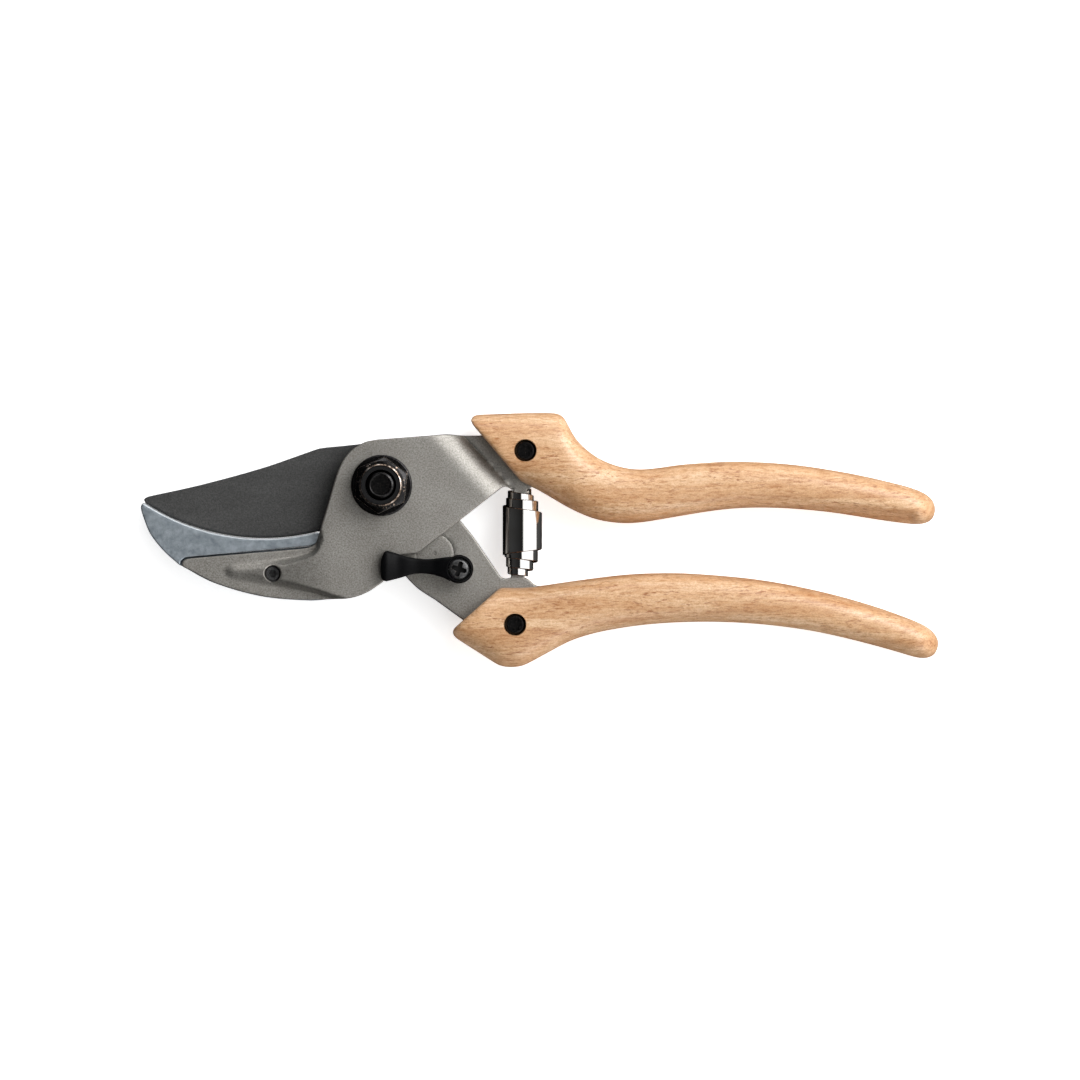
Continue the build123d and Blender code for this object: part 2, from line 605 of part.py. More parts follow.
def make_handle(edges, front, tang, screw):
    """Wooden handle, cut to its front face, slotted for its tang and bored for its screw."""
    body = handle_body(edges) - slab(front, -FAR, FAR)
    body -= slab(tang, -TANG_HALF - FACE_GAP, TANG_HALF + FACE_GAP)
    body -= rod(screw, HANDLE_SCREW_HOLE, HANDLE_SCREW_SEAT, FAR)
    body -= rod(screw, HANDLE_SCREW_HOLE, -FAR, -HANDLE_SCREW_SEAT)
    return body - rod(screw, HANDLE_NUT_BARREL + RUNNING, -FAR, FAR)


def make_handle_screw(at):
    """Pan-head screw from the front; its thread runs in the barrel nut."""
    screw = rod(at, HANDLE_SCREW_HEAD, HANDLE_SCREW_SEAT + 0.05, HANDLE_SCREW_TOP)
    screw = fillet(screw.faces().sort_by(Axis.Z)[-1].edges(), 0.7)
    screw += rod(at, HANDLE_SCREW_SHANK, -4.0, HANDLE_SCREW_SEAT + 0.05)
    return screw - six_lobe(at, RECESS_RADIUS, HANDLE_SCREW_TOP - RECESS_DEPTH, FAR)


def make_handle_nut(at):
    """Barrel nut from the back, with a slotted head."""
    head_low = -HANDLE_SCREW_TOP
    nut = rod(at, HANDLE_SCREW_HEAD, head_low, -HANDLE_SCREW_SEAT - 0.05)
    nut = chamfer(nut.faces().sort_by(Axis.Z)[0].edges(), 0.5)
    nut += rod(at, HANDLE_NUT_BARREL, -HANDLE_SCREW_SEAT - 0.05, HANDLE_SCREW_SEAT - 0.4)
    nut -= rod(at, HANDLE_SCREW_SHANK + RUNNING, -HANDLE_SCREW_SEAT, FAR)
    return nut - Pos(*at, head_low) * Box(FAR, NUT_SLOT, 2 * NUT_SLOT)


# ---------------------------------------------------------------- assembly

def make_parts():
    upper_tang = anvil_lever_outline()
    lower_tang = blade_lever_outline()
    return {
        "anvil_lever": make_anvil_lever(),
        "anvil": make_anvil(),
        "anvil_screw": make_anvil_screw(),
        "pivot_bolt": make_pivot_bolt(),
        "pivot_washer": make_pivot_washer(),
        "pivot_nut": make_pivot_nut(),
        "nut_insert": make_nut_insert(),
        "bearing_disc": make_bearing_disc(),
        "blade_lever": make_blade_lever(),
        "blade": make_blade(),
        "blade_rivet": make_blade_rivet(),
        "catch": make_catch(),
        "catch_washer": make_catch_washer(),
        "catch_screw": make_catch_screw(),
        "volute_spring": make_spring(),
        "upper_handle": make_handle(upper_handle_edges(), upper_handle_front(), upper_tang, UPPER_SCREW),
        "lower_handle": make_handle(lower_handle_edges(), lower_handle_front(), lower_tang, LOWER_SCREW),
        "upper_handle_screw": make_handle_screw(UPPER_SCREW),
        "lower_handle_screw": make_handle_screw(LOWER_SCREW),
        "upper_handle_nut": make_handle_nut(UPPER_SCREW),
        "lower_handle_nut": make_handle_nut(LOWER_SCREW),
    }


def main():
    os.makedirs("parts", exist_ok=True)
    for name, shape in make_parts().items():
        export_step(Pos(*PIVOT_PLACE) * shape, f"parts/{name}.step")


main()
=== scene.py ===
"""Anvil pruning shears with wooden handles, lying shut on a pale floor.

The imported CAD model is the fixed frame. Its hardware is kept and given better materials; the pressed
plates, the blade, the anvil, the catch, the spring and the wooden handles are finer meshes that stand for
their nodes. Outlines are in millimetres about the pivot axis, with z = 0 at the middle of both tangs, as in
the CAD part.
"""
import json
import math

import bmesh
import bpy
import numpy as np
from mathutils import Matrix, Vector, geometry


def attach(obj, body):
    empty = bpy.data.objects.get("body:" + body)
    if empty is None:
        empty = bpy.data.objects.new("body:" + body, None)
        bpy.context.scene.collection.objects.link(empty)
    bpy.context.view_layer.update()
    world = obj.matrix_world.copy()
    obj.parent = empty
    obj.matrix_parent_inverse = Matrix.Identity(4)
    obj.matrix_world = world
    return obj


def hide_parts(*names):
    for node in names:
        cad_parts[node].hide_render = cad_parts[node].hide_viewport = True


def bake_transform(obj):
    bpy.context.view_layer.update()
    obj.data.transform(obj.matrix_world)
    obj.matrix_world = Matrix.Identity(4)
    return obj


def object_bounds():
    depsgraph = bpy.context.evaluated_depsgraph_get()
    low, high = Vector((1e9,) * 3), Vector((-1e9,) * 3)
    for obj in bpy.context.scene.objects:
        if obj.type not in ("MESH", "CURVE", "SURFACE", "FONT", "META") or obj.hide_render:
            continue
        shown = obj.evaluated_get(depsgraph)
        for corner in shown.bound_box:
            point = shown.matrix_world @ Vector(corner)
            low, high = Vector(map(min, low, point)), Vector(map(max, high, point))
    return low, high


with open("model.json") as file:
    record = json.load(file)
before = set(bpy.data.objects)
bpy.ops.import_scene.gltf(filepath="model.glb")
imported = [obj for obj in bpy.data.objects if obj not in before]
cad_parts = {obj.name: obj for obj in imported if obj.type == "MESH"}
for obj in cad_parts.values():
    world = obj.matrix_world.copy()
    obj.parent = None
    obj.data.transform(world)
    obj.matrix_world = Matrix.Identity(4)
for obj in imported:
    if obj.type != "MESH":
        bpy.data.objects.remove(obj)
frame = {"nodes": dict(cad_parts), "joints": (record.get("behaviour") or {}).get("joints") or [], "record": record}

JOINTS = {joint["name"]: joint for joint in frame["joints"]}
PIVOT = Vector(JOINTS["blade_pivot"]["pos_m"])
MM = 0.001
CAD_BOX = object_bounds()

# Layers about the pivot, from back to front.
TANG = 1.5
BLADE_BACK, BLADE_FRONT, EDGE_HEIGHT = -4.5, -1.5, -2.2
PLATE_BACK, PLATE_FRONT = 2.0, 5.0
JAW_BACK, JAW_FRONT = -1.6, 1.4
ANVIL_BACK, ANVIL_FRONT = -6.2, 1.2
HANDLE_HALF = 8.5
CATCH_TOP, CATCH_BACK, CATCH_BOSS_DEPTH = 8.25, 5.45, 3.35
NUT_BASE, NUT_TOP = 6.6, 11.6

# The cutting edge is an arc; the blade's bevels and the anvil's top follow it.
EDGE_CENTRE = (-31.2, 43.4)
EDGE_RADIUS = 57.2
BACK_BEVEL, FRONT_BEVEL = 6.0, 0.7
# Painted highlight on the anvil: a bright band just outside the edge arc, full from the first distance and gone by
# the second, in millimetres.
EDGE_HIGHLIGHT_START, EDGE_HIGHLIGHT_END = 0.25, 0.6

# The raised plate steps down to the tang across a line square to this direction.
BEND_TURN = math.radians(43.0)
BEND_FOOT = 24.4
BEND_SLOPE = math.radians(50.0)
BEND_RADIUS = 9.0
BACK_BEND_FOOT, BACK_BEND_RADIUS = BEND_FOOT - 1.4, 3.0
FOLD_DEPTH, FOLD_WIDTH = 0.22, 0.28
RIB_START = 2.0

RIVET = (13.8, -17.8)
CATCH_PIVOT = (20.3, -21.9)
ANVIL_SCREW = (-28.7, -23.1)
UPPER_SCREW = (37.6, 9.1)
LOWER_SCREW = (34.9, -36.4)


# ---------------------------------------------------------------- plan curves

def arc(centre, radius, start, end, count=24):
    """Points along a circle, from one angle to another, in degrees."""
    angles = np.radians(np.linspace(start, end, count))
    return [(centre[0] + radius * math.cos(a), centre[1] + radius * math.sin(a)) for a in angles]


def smooth(points, count=10):
    """Points along a smooth curve through the given ones."""
    p = np.array(points, float)
    p = np.vstack([2 * p[0] - p[1], p, 2 * p[-1] - p[-2]])
    out = []
    for a, b, c, d in zip(p, p[1:], p[2:], p[3:]):
        for t in np.linspace(0, 1, count, endpoint=False):
            out.append(0.5 * (2 * b + (c - a) * t + (2 * a - 5 * b + 4 * c - d) * t**2
                              + (3 * b - a - 3 * c + d) * t**3))
    out.append(p[-2])
    return [tuple(q) for q in out]


def edge_arc(first, last, gap=0.0, count=60):
    """Points along the cutting edge between two values of x."""
    cx, cy = EDGE_CENTRE
    radius = EDGE_RADIUS + gap
    return [(x, cy - math.sqrt(radius**2 - (x - cx) ** 2)) for x in np.linspace(first, last, count)]


def closed(points, spacing):
    """The loop with repeated points dropped and its long stretches divided."""
    loop = []
    points = [Vector(p) for p in points]
    for a, b in zip(points, points[1:] + points[:1]):
        length = (b - a).length
        if length < 1e-4:
            continue
        parts = max(1, math.ceil(length / spacing))
        loop += [a + (b - a) * i / parts for i in range(parts)]
    loop = np.array([tuple(p) for p in loop])
    area = np.sum(loop[:, 0] * np.roll(loop[:, 1], -1) - np.roll(loop[:, 0], -1) * loop[:, 1])
    return loop if area > 0 else loop[::-1]


# ---------------------------------------------------------------- heights

def blend_step(value, low, high):
    """0 below low, 1 above high, and smooth between."""
    t = np.clip((value - low) / (high - low), 0, 1)
    return t * t * (3 - 2 * t)


def at_height(height):
    """Flat face for plate()."""
    return lambda x, y: 0 * x + height

def from_point(x, y, centre):
    """Distance in plan from one point."""
    return np.hypot(x - centre[0], y - centre[1])

def loop_distance(points, loop):
    """Distance from each point to a closed loop."""
    best = np.full(len(points), 1e9)
    for a, b in zip(loop, np.roll(loop, -1, 0)):
        step = b - a
        t = np.clip(((points - a) @ step) / (step @ step), 0, 1)
        best = np.minimum(best, np.linalg.norm(points - a - t[:, None] * step, axis=1))
    return best


def inside(points, loop):
    """Whether each point lies in a closed loop."""
    result = np.zeros(len(points), bool)
    x, y = points[:, 0], points[:, 1]
    for (ax, ay), (bx, by) in zip(loop, np.roll(loop, -1, 0)):
        if ay == by:
            continue
        crosses = (ay > y) != (by > y)
        result ^= crosses & (x < (bx - ax) * (y - ay) / (by - ay) + ax)
    return result


def depth_in(points, loop):
    """Distance to the loop, positive inside it and negative outside."""
    distance = loop_distance(points, loop)
    return np.where(inside(points, loop), distance, -distance)


# ---------------------------------------------------------------- meshes

def clean(mesh):
    """Merges doubled points and turns every face outwards."""
    tidy = bmesh.new()
    tidy.from_mesh(mesh)
    bmesh.ops.remove_doubles(tidy, verts=tidy.verts, dist=1e-7)
    bmesh.ops.dissolve_degenerate(tidy, edges=tidy.edges, dist=1e-8)
    bmesh.ops.recalc_face_normals(tidy, faces=tidy.faces)
    if tidy.calc_volume(signed=True) < 0:
        bmesh.ops.reverse_faces(tidy, faces=tidy.faces)
    tidy.to_mesh(mesh)
    tidy.free()


def finish_mesh(name, vertices, faces, sharp=38.0):
    """Object from points in millimetres about the pivot, in the row frame, smooth up to the sharp angle."""
    mesh = bpy.data.meshes.new(name)
    places = [(PIVOT.x + x * MM, PIVOT.y + y * MM, PIVOT.z + z * MM) for x, y, z in vertices]
    mesh.from_pydata(places, [], faces)
    piece = bpy.data.objects.new(name, mesh)
    bpy.context.scene.collection.objects.link(piece)
    clean(mesh)
    mesh.shade_smooth()
    mesh.set_sharp_from_angle(angle=math.radians(sharp))
    return piece


# Rows of points along a plate's edges and the start of its grid, as shares of the edges' rounding.
EDGE_ROWS = (0.134, 0.5, 1.0, 1.8)
ROW_SLACK = 0.93
GRID_START = 2.4
HOLE_SPACING = 0.35
ROUNDING_LIMIT = 0.45  # of the plate's thickness

def plate(name, outline, top, bottom, holes=(), edge=0.35, grid=0.9, extra=(), spacing=0.6):
    """Closed plate with a plan outline, heights given by two functions of x and y, and rounded edges."""
    loops = [closed(outline, spacing)] + [closed(hole, HOLE_SPACING) for hole in holes]
    rings = [edge * share for share in EDGE_ROWS]
    points = []
    for number, loop in enumerate(loops):
        ahead = np.roll(loop, -1, 0) - np.roll(loop, 1, 0)
        ahead /= np.linalg.norm(ahead, axis=1)[:, None]
        inward = np.stack([-ahead[:, 1], ahead[:, 0]], 1) * (1 if number == 0 else -1)
        points += [loop + inward * ring for ring in rings]
    low, high = loops[0].min(0), loops[0].max(0)
    xs, ys = np.meshgrid(np.arange(low[0], high[0], grid), np.arange(low[1], high[1], grid * 0.87))
    xs[1::2] += grid / 2
    points.append(np.stack([xs.ravel(), ys.ravel()], 1))
    if len(extra):
        points.append(np.array(extra, float))
    depths = []
    for group in points:
        depth = depth_in(group, loops[0])
        for hole in loops[1:]:
            depth = np.minimum(depth, -depth_in(group, hole))
        depths.append(depth)
    ring_count = len(loops) * len(rings)
    kept = []
    for number, (group, depth) in enumerate(zip(points, depths)):
        least = rings[number % len(rings)] * ROW_SLACK if number < ring_count else edge * GRID_START
        kept.append(group[depth > least])
    cloud = np.vstack(loops + kept)
    constraints = []
    start = 0
    for loop in loops:
        count = len(loop)
        constraints += [(start + i, start + (i + 1) % count) for i in range(count)]
        start += count
    found = geometry.delaunay_2d_cdt([Vector(p) for p in cloud], constraints, [], 0, 1e-5)
    flat = np.array([tuple(p) for p in found[0]])
    triangles = np.array([tuple(f) for f in found[2]])
    middle = flat[triangles].mean(1)
    keep = inside(middle, loops[0])
    for hole in loops[1:]:
        keep &= ~inside(middle, hole)
    triangles = triangles[keep]
    depth = loop_distance(flat, loops[0])
    for hole in loops[1:]:
        depth = np.minimum(depth, loop_distance(flat, hole))
    upper, lower = top(flat[:, 0], flat[:, 1]), bottom(flat[:, 0], flat[:, 1])
    radius = np.minimum(edge, ROUNDING_LIMIT * (upper - lower))
    short = radius - np.minimum(depth, radius)
    drop = radius - np.sqrt(np.maximum(radius**2 - short**2, 0))
    count = len(flat)
    vertices = np.vstack([np.column_stack([flat, upper - drop]), np.column_stack([flat, lower + drop])])
    faces = [tuple(t) for t in triangles] + [tuple(t[::-1] + count) for t in triangles]
    edges = {}
    for a, b, c in triangles:
        for pair in ((a, b), (b, c), (c, a)):
            edges[pair] = edges.get(pair, 0) + 1
    for a, b in edges:
        if (b, a) not in edges:
            faces.append((b, a, a + count, b + count))
    return finish_mesh(name, vertices, faces)


def turned(name, profile, centre=(0.0, 0.0), count=96, sharp=30.0):
    """Ring or disc turned about an upright axis from a closed profile of (radius, z) points."""
    vertices, faces = [], []
    size = len(profile)
    for i in range(count):
        angle = 2 * math.pi * i / count
        for radius, z in profile:
            vertices.append((centre[0] + radius * math.cos(angle), centre[1] + radius * math.sin(angle), z))
    for i in range(count):
        for j in range(size):
            k = (j + 1) % size
            if profile[j][0] == 0 and profile[k][0] == 0:
                continue
            corners = [i * size + j, i * size + k, (i + 1) % count * size + k, (i + 1) % count * size + j]
            if profile[k][0] == 0:
                corners.pop(2)
            elif profile[j][0] == 0:
                corners.pop(3)
            faces.append(tuple(corners))
    return finish_mesh(name, vertices, faces, sharp)


def trim(piece, point, normal):
    """Removes what lies beyond an upright plane through a plan point, and closes the face."""
    work = bmesh.new()
    work.from_mesh(piece.data)
    bmesh.ops.bisect_plane(work, geom=work.verts[:] + work.edges[:] + work.faces[:], dist=1e-7,
                           plane_co=PIVOT + Vector((*point, 0)) * MM,
                           plane_no=Vector((*normal, 0)).normalized(), clear_outer=True)
    rim = [edge for edge in work.edges if edge.is_boundary]
    if rim:
        bmesh.ops.contextual_create(work, geom=rim)
    work.to_mesh(piece.data)
    work.free()
    clean(piece.data)


def round_corner(piece, centre, radius, start, end, steps=7):
    """Rounds an upright corner in plan with a fan of cuts, from one angle to another, in degrees."""
    for angle in np.radians(np.linspace(start, end, steps + 2)[1:-1]):
        normal = (math.cos(angle), math.sin(angle))
        trim(piece, (centre[0] + radius * normal[0], centre[1] + radius * normal[1]), normal)


def settle(piece):
    """Replaces the piece's mesh by what its modifiers make of it."""
    bpy.context.view_layer.update()
    result = bpy.data.meshes.new_from_object(piece.evaluated_get(bpy.context.evaluated_depsgraph_get()))
    piece.modifiers.clear()
    piece.data = result


def round_over(piece, size, repeats):
    """Even mesh of this face size in millimetres, with every edge worn round by smoothing."""
    remesh = piece.modifiers.new("even", "REMESH")
    remesh.mode = "VOXEL"
    remesh.voxel_size = size * MM
    settle(piece)
    work = bmesh.new()
    work.from_mesh(piece.data)
    for _ in range(repeats):
        bmesh.ops.smooth_vert(work, verts=work.verts, factor=0.5, use_axis_x=True, use_axis_y=True,
                              use_axis_z=True)
    work.to_mesh(piece.data)
    work.free()
    clean(piece.data)
    piece.data.shade_smooth()


def cut(piece, cutters):
    """Cuts the other objects out of the piece, and removes them."""
    for cutter in cutters:
        modifier = piece.modifiers.new("cut", "BOOLEAN")
        modifier.operation = "DIFFERENCE"
        modifier.solver = "EXACT"
        modifier.object = cutter
    settle(piece)
    for cutter in cutters:
        bpy.data.objects.remove(cutter)
    clean(piece.data)
    piece.data.set_sharp_from_angle(angle=math.radians(40))
    return piece


def soften(piece, width, segments=2, angle=35.0):
    """Small rounded edges, as a modifier."""
    bevel = piece.modifiers.new("soften", "BEVEL")
    bevel.width = width * MM
    bevel.segments = segments
    bevel.limit_method = "ANGLE"
    bevel.angle_limit = math.radians(angle)
    return piece


# ---------------------------------------------------------------- materials

class Nodes:
    """Short form for a node tree."""

    def __init__(self, tree):
        self.tree = tree

    def node(self, kind, **inputs):
        made = self.tree.nodes.new(kind)
        for key, value in inputs.items():
            self.put(made.inputs[key.replace("_", " ").title()], value)
        return made

    def put(self, socket, value):
        if hasattr(value, "is_output"):
            self.tree.links.new(value, socket)
        else:
            socket.default_value = value

    def ramp(self, value, *stops):
        """Colour or grey ramp from (position, colour) stops."""
        made = self.node("ShaderNodeValToRGB", fac=value)
        ramp = made.color_ramp
        while len(ramp.elements) < len(stops):
            ramp.elements.new(0.5)
        for element, (position, colour) in zip(ramp.elements, stops):
            element.position = position
            element.color = colour if isinstance(colour, tuple) else (colour, colour, colour, 1)
        return made.outputs["Color"]

    def mix(self, share, first, second, mode="MIX"):
        made = self.tree.nodes.new("ShaderNodeMix")
        made.data_type = "RGBA"
        made.blend_type = mode
        for number, value in ((0, share), (6, first), (7, second)):
            self.put(made.inputs[number], value)
        return made.outputs[2]

    def math(self, kind, first, second=0.0):
        made = self.tree.nodes.new("ShaderNodeMath")
        made.operation = kind
        self.put(made.inputs[0], first)
        self.put(made.inputs[1], second)
        return made.outputs[0]

class Surface(Nodes):
    """Short form for one procedural material. Coordinates are in millimetres in the row frame."""

    def __init__(self, name, **sockets):
        self.material = bpy.data.materials.new(name)
        self.material.use_nodes = True
        super().__init__(self.material.node_tree)
        self.shader = self.tree.nodes["Principled BSDF"]
        for key, value in sockets.items():
            self.shader.inputs[key.replace("_", " ").title().replace("Ior", "IOR")].default_value = value

    def coords(self, scale, turn=0.0):
        """Row-frame coordinates times scale, per millimetre."""
        place = self.node("ShaderNodeTexCoord").outputs["Object"]
        mapping = self.node("ShaderNodeMapping", vector=place)
        mapping.inputs["Scale"].default_value = [1000 * value for value in scale]
        mapping.inputs["Rotation"].default_value = (0, 0, math.radians(turn))
        return mapping.outputs["Vector"]

    def noise(self, vector, detail=3.0, roughness=0.55, distortion=0.0):
        made = self.node("ShaderNodeTexNoise", vector=vector, scale=1.0, detail=detail,
                         roughness=roughness, distortion=distortion)
        return made.outputs["Fac"]

    def colour(self, value):
        self.put(self.shader.inputs["Base Color"], value)

    def rough(self, value, low, high):
        """Roughness between two values."""
        made = self.node("ShaderNodeMapRange", value=value, to_min=low, to_max=high)
        self.put(self.shader.inputs["Roughness"], made.outputs["Result"])

    def bump(self, height, depth):
        """Relief of this depth in millimetres."""
        made = self.node("ShaderNodeBump", strength=1.0, height=height, distance=depth * MM)
        last = self.shader.inputs["Normal"]
        if last.is_linked:
            self.tree.links.new(last.links[0].from_socket, made.inputs["Normal"])
        self.tree.links.new(made.outputs["Normal"], last)

def rgb(red, green, blue):
    """Linear colour from 8-bit display values."""
    def linear(value):
        value /= 255
        return value / 12.92 if value <= 0.04045 else ((value + 0.055) / 1.055) ** 2.4
    return (linear(red), linear(green), linear(blue), 1)


def lever_steel():
    """Warm grey blasted steel: fine grain with soft clouds."""
    s = Surface("lever_steel", metallic=0.9, roughness=0.5)
    grain = s.noise(s.coords((2.3, 2.3, 2.3)), 4.0, 0.85)
    clouds = s.noise(s.coords((0.1, 0.1, 0.1)), 3.0)
    tone = s.ramp(grain, (0.34, rgb(124, 121, 116)), (0.66, rgb(184, 181, 175)))
    shade = s.ramp(clouds, (0.35, rgb(242, 241, 240)), (0.65, rgb(255, 255, 255)))
    s.colour(s.mix(1.0, tone, shade, "MULTIPLY"))
    s.rough(grain, 0.44, 0.6)
    s.bump(grain, 0.045)
    return s.material


def blade_coating():
    """Matt dark non-stick coating with fine grain."""
    s = Surface("blade_coating", metallic=0.35, roughness=0.42)
    grain = s.noise(s.coords((2.4, 2.4, 2.4)), 4.0, 0.8)
    clouds = s.noise(s.coords((0.06, 0.2, 0.2), 12), 4.0)
    tone = s.ramp(grain, (0.34, rgb(58, 58, 58)), (0.66, rgb(90, 90, 89)))
    shade = s.ramp(clouds, (0.3, rgb(228, 228, 228)), (0.7, rgb(255, 255, 255)))
    s.colour(s.mix(1.0, tone, shade, "MULTIPLY"))
    s.rough(grain, 0.38, 0.52)
    s.bump(grain, 0.035)
    return s.material


def anvil_alloy():
    """Blue-grey alloy, mottled, with a painted highlight: a bright band along its striking edge."""
    s = Surface("anvil_alloy", metallic=0.75, roughness=0.42)
    mottle = s.noise(s.coords((0.45, 0.45, 0.45)), 4.0, 0.65)
    grain = s.noise(s.coords((2.4, 2.4, 2.4)), 4.0, 0.8)
    tone = s.ramp(mottle, (0.3, rgb(130, 140, 148)), (0.7, rgb(182, 191, 198)))
    place = s.node("ShaderNodeTexCoord").outputs["Object"]
    parts = s.node("ShaderNodeSeparateXYZ", vector=place)
    centre = (PIVOT.x + EDGE_CENTRE[0] * MM, PIVOT.y + EDGE_CENTRE[1] * MM)
    across = s.math("SUBTRACT", parts.outputs["X"], centre[0])
    along = s.math("SUBTRACT", parts.outputs["Y"], centre[1])
    squares = s.math("ADD", s.math("MULTIPLY", across, across), s.math("MULTIPLY", along, along))
    radius = s.math("SQRT", squares)
    # Painted highlight: the bright band along the striking edge, where its small chamfer catches the light.
    edge_highlight = s.node("ShaderNodeMapRange", value=radius, from_min=(EDGE_RADIUS + EDGE_HIGHLIGHT_END) * MM,
                  from_max=(EDGE_RADIUS + EDGE_HIGHLIGHT_START) * MM)
    s.colour(s.mix(edge_highlight.outputs["Result"], tone, rgb(206, 209, 212)))
    s.rough(grain, 0.34, 0.5)
    s.bump(mottle, 0.05)
    s.bump(grain, 0.04)
    return s.material


def grained(name, density, detail, fineness, stops, rough=None, relief=0.0, **sockets):
    """Material with one even noise behind its colour, its range of roughness and its relief."""
    s = Surface(name, **sockets)
    grain = s.noise(s.coords((density, density, density)), detail, fineness)
    s.colour(s.ramp(grain, *((position, rgb(*colour)) for position, colour in stops)))
    if rough:
        s.rough(grain, *rough)
    if relief:
        s.bump(grain, relief)
    return s.material

def ash_wood():
    """Pale wood: soft bands, fine fibres and short brown pores, all nearly along X, under satin lacquer."""
    s = Surface("ash_wood", roughness=0.4, coat_weight=0.3, coat_roughness=0.22)
    bands = s.noise(s.coords((0.02, 0.3, 0.2), -8), 4.0, 0.6, 0.9)
    fibres = s.noise(s.coords((0.42, 1.9, 1.5), -8), 5.0, 0.75, 0.25)
    speckle = s.noise(s.coords((2.2, 2.9, 2.6)), 3.0, 0.75)
    pores = s.noise(s.coords((0.5, 1.9, 1.5), -10), 3.0, 0.6)
    patches = s.noise(s.coords((0.07, 0.3, 0.2)), 2.0)
    base = s.ramp(bands, (0.32, rgb(207, 161, 119)), (0.5, rgb(224, 184, 144)), (0.66, rgb(240, 208, 173)))
    fibre = s.ramp(fibres, (0.32, rgb(200, 168, 134)), (0.5, rgb(246, 240, 232)), (0.64, rgb(255, 255, 255)))
    flecks = s.ramp(speckle, (0.32, rgb(226, 212, 196)), (0.62, rgb(255, 255, 255)))
    wood = s.mix(0.95, base, fibre, "MULTIPLY")
    wood = s.mix(0.9, wood, flecks, "MULTIPLY")
    dash = s.ramp(pores, (0.56, 0.0), (0.66, 1.0))
    where = s.ramp(patches, (0.42, 0.1), (0.6, 1.0))
    share = s.math("MULTIPLY", dash, s.math("MULTIPLY", where, 0.85))
    wood = s.mix(share, wood, rgb(156, 98, 58))
    s.colour(wood)
    s.rough(fibres, 0.3, 0.46)
    s.bump(fibres, 0.05)
    s.bump(dash, -0.05)
    return s.material


MATERIALS = {make.__name__: make() for make in (lever_steel, blade_coating, anvil_alloy, ash_wood)}
MATERIALS["rivet_steel"] = MATERIALS["lever_steel"]

# Plain materials: noise per millimetre, its detail and roughness, colours, range of roughness and relief.
for name, how, sockets in (
    # Blackened hardware, and a brighter steel for its edges: partly where they are rubbed through to bare steel,
    # partly a painted highlight where edges catch the light.
    ("black_steel", (2.2, 4.0, 0.7, ((0.35, (30, 30, 31)), (0.6, (52, 51, 51)), (0.72, (84, 76, 70))),
                     (0.14, 0.34), 0.02), {"metallic": 1.0, "roughness": 0.25}),
    ("rubbed_steel_and_highlight", (0.9, 3.0, 0.6, ((0.4, (60, 54, 50)), (0.52, (140, 122, 108)), (0.66, (206, 196, 188))),
                    (0.2, 0.36), 0.04), {"metallic": 1.0, "roughness": 0.25}),
    # Burnished screw heads.
    ("screw_steel", (1.8, 3.0, 0.6, ((0.35, (56, 56, 57)), (0.65, (90, 90, 90))), (0.28, 0.42), 0.03),
     {"metallic": 0.6, "roughness": 0.36}),
    # Polished spring strip, and its sheared edges with their brown heat tint.
    ("spring_steel", (0.25, 2.0, 0.55, ((0.35, (240, 237, 233)), (0.65, (250, 249, 247))), (0.05, 0.1)),
     {"metallic": 1.0, "roughness": 0.06, "specular_tint": (0.12, 0.08, 0.06, 1)}),
    ("strip_edge", (1.5, 3.0, 0.55, ((0.35, (66, 48, 38)), (0.65, (128, 98, 76))), (0.24, 0.4)),
     {"metallic": 1.0, "roughness": 0.3}),
    # Moulded catch with a fine matt texture, the nut's nylon ring, whose black also paints shade into the catch
    # screw's recess, and the bearing disc.
    ("catch_plastic", (2.6, 3.0, 0.7, ((0.3, (5, 5, 6)), (0.7, (12, 12, 13))), (0.3, 0.48), 0.03),
     {"roughness": 0.45, "specular_ior_level": 0.07}),
    ("insert_nylon", (4.0, 2.0, 0.55, ((0.3, (5, 5, 6)), (0.7, (12, 12, 13))), None, 0.01),
     {"roughness": 0.5, "specular_ior_level": 0.25}),
    ("bronze", (3.0, 3.0, 0.55, ((0.3, (150, 108, 66)), (0.7, (186, 142, 92))), (0.28, 0.42)),
     {"metallic": 1.0, "roughness": 0.35}),
):
    MATERIALS[name] = grained(name, *how, **sockets)

def dress(piece, slot, body, *nodes):
    """Gives a new piece the material of its slot and its body, and hides the CAD nodes that it stands for."""
    piece.data.materials.clear()
    piece.data.materials.append(MATERIALS[slot])
    if body:
        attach(piece, body)
    if nodes:
        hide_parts(*nodes)
    return piece


def give_wear_and_painted_light(piece, slot, test):
    """Gives another material to the faces whose middle, in millimetres about the pivot, passes the test: here
    rubbed edges that also carry a painted highlight, and a recess painted dark as shade.
    """
    piece.data.materials.append(MATERIALS[slot])
    for face in piece.data.polygons:
        if test((face.center - PIVOT) / MM):
            face.material_index = len(piece.data.materials) - 1
    return piece


# ---------------------------------------------------------------- anvil lever

def raised_region():
    """Plan of what stands above the jaw's flange: the rib, and everything to its right."""
    return closed(
        smooth([(-16.9, -3.0), (-16.9, -13.6), (-17.6, -16.6), (-20.5, -18.3), (-28.0, -19.6),
                (-36.0, -20.4), (-39.6, -20.7), (-41.2, -22.4), (-39.6, -24.3), (-34.0, -25.2),
                (-26.0, -26.5), (-18.0, -28.0), (-12.2, -29.8), (-4.0, -32.0)], 6)
        + [(90.0, -32.0), (90.0, 40.0), (-16.9, 40.0)], 4.0)


def step_down(s, high, low, foot, radius):
    """Height of one face of the bent plate, at distance s along the bend direction."""
    slope = math.tan(BEND_SLOPE)
    crest = foot - (high - low) / slope
    start = crest - radius * math.tan(BEND_SLOPE / 2)
    on_arc = np.clip(s - start, 0, radius * math.sin(BEND_SLOPE))
    arc_height = high - (radius - np.sqrt(radius**2 - on_arc**2))
    return np.where(s < start + radius * math.sin(BEND_SLOPE), arc_height,
                    np.maximum(low, high - slope * (s - crest)))


def along_bend(x, y):
    return x * math.cos(BEND_TURN) + y * math.sin(BEND_TURN)


RAISED = raised_region()


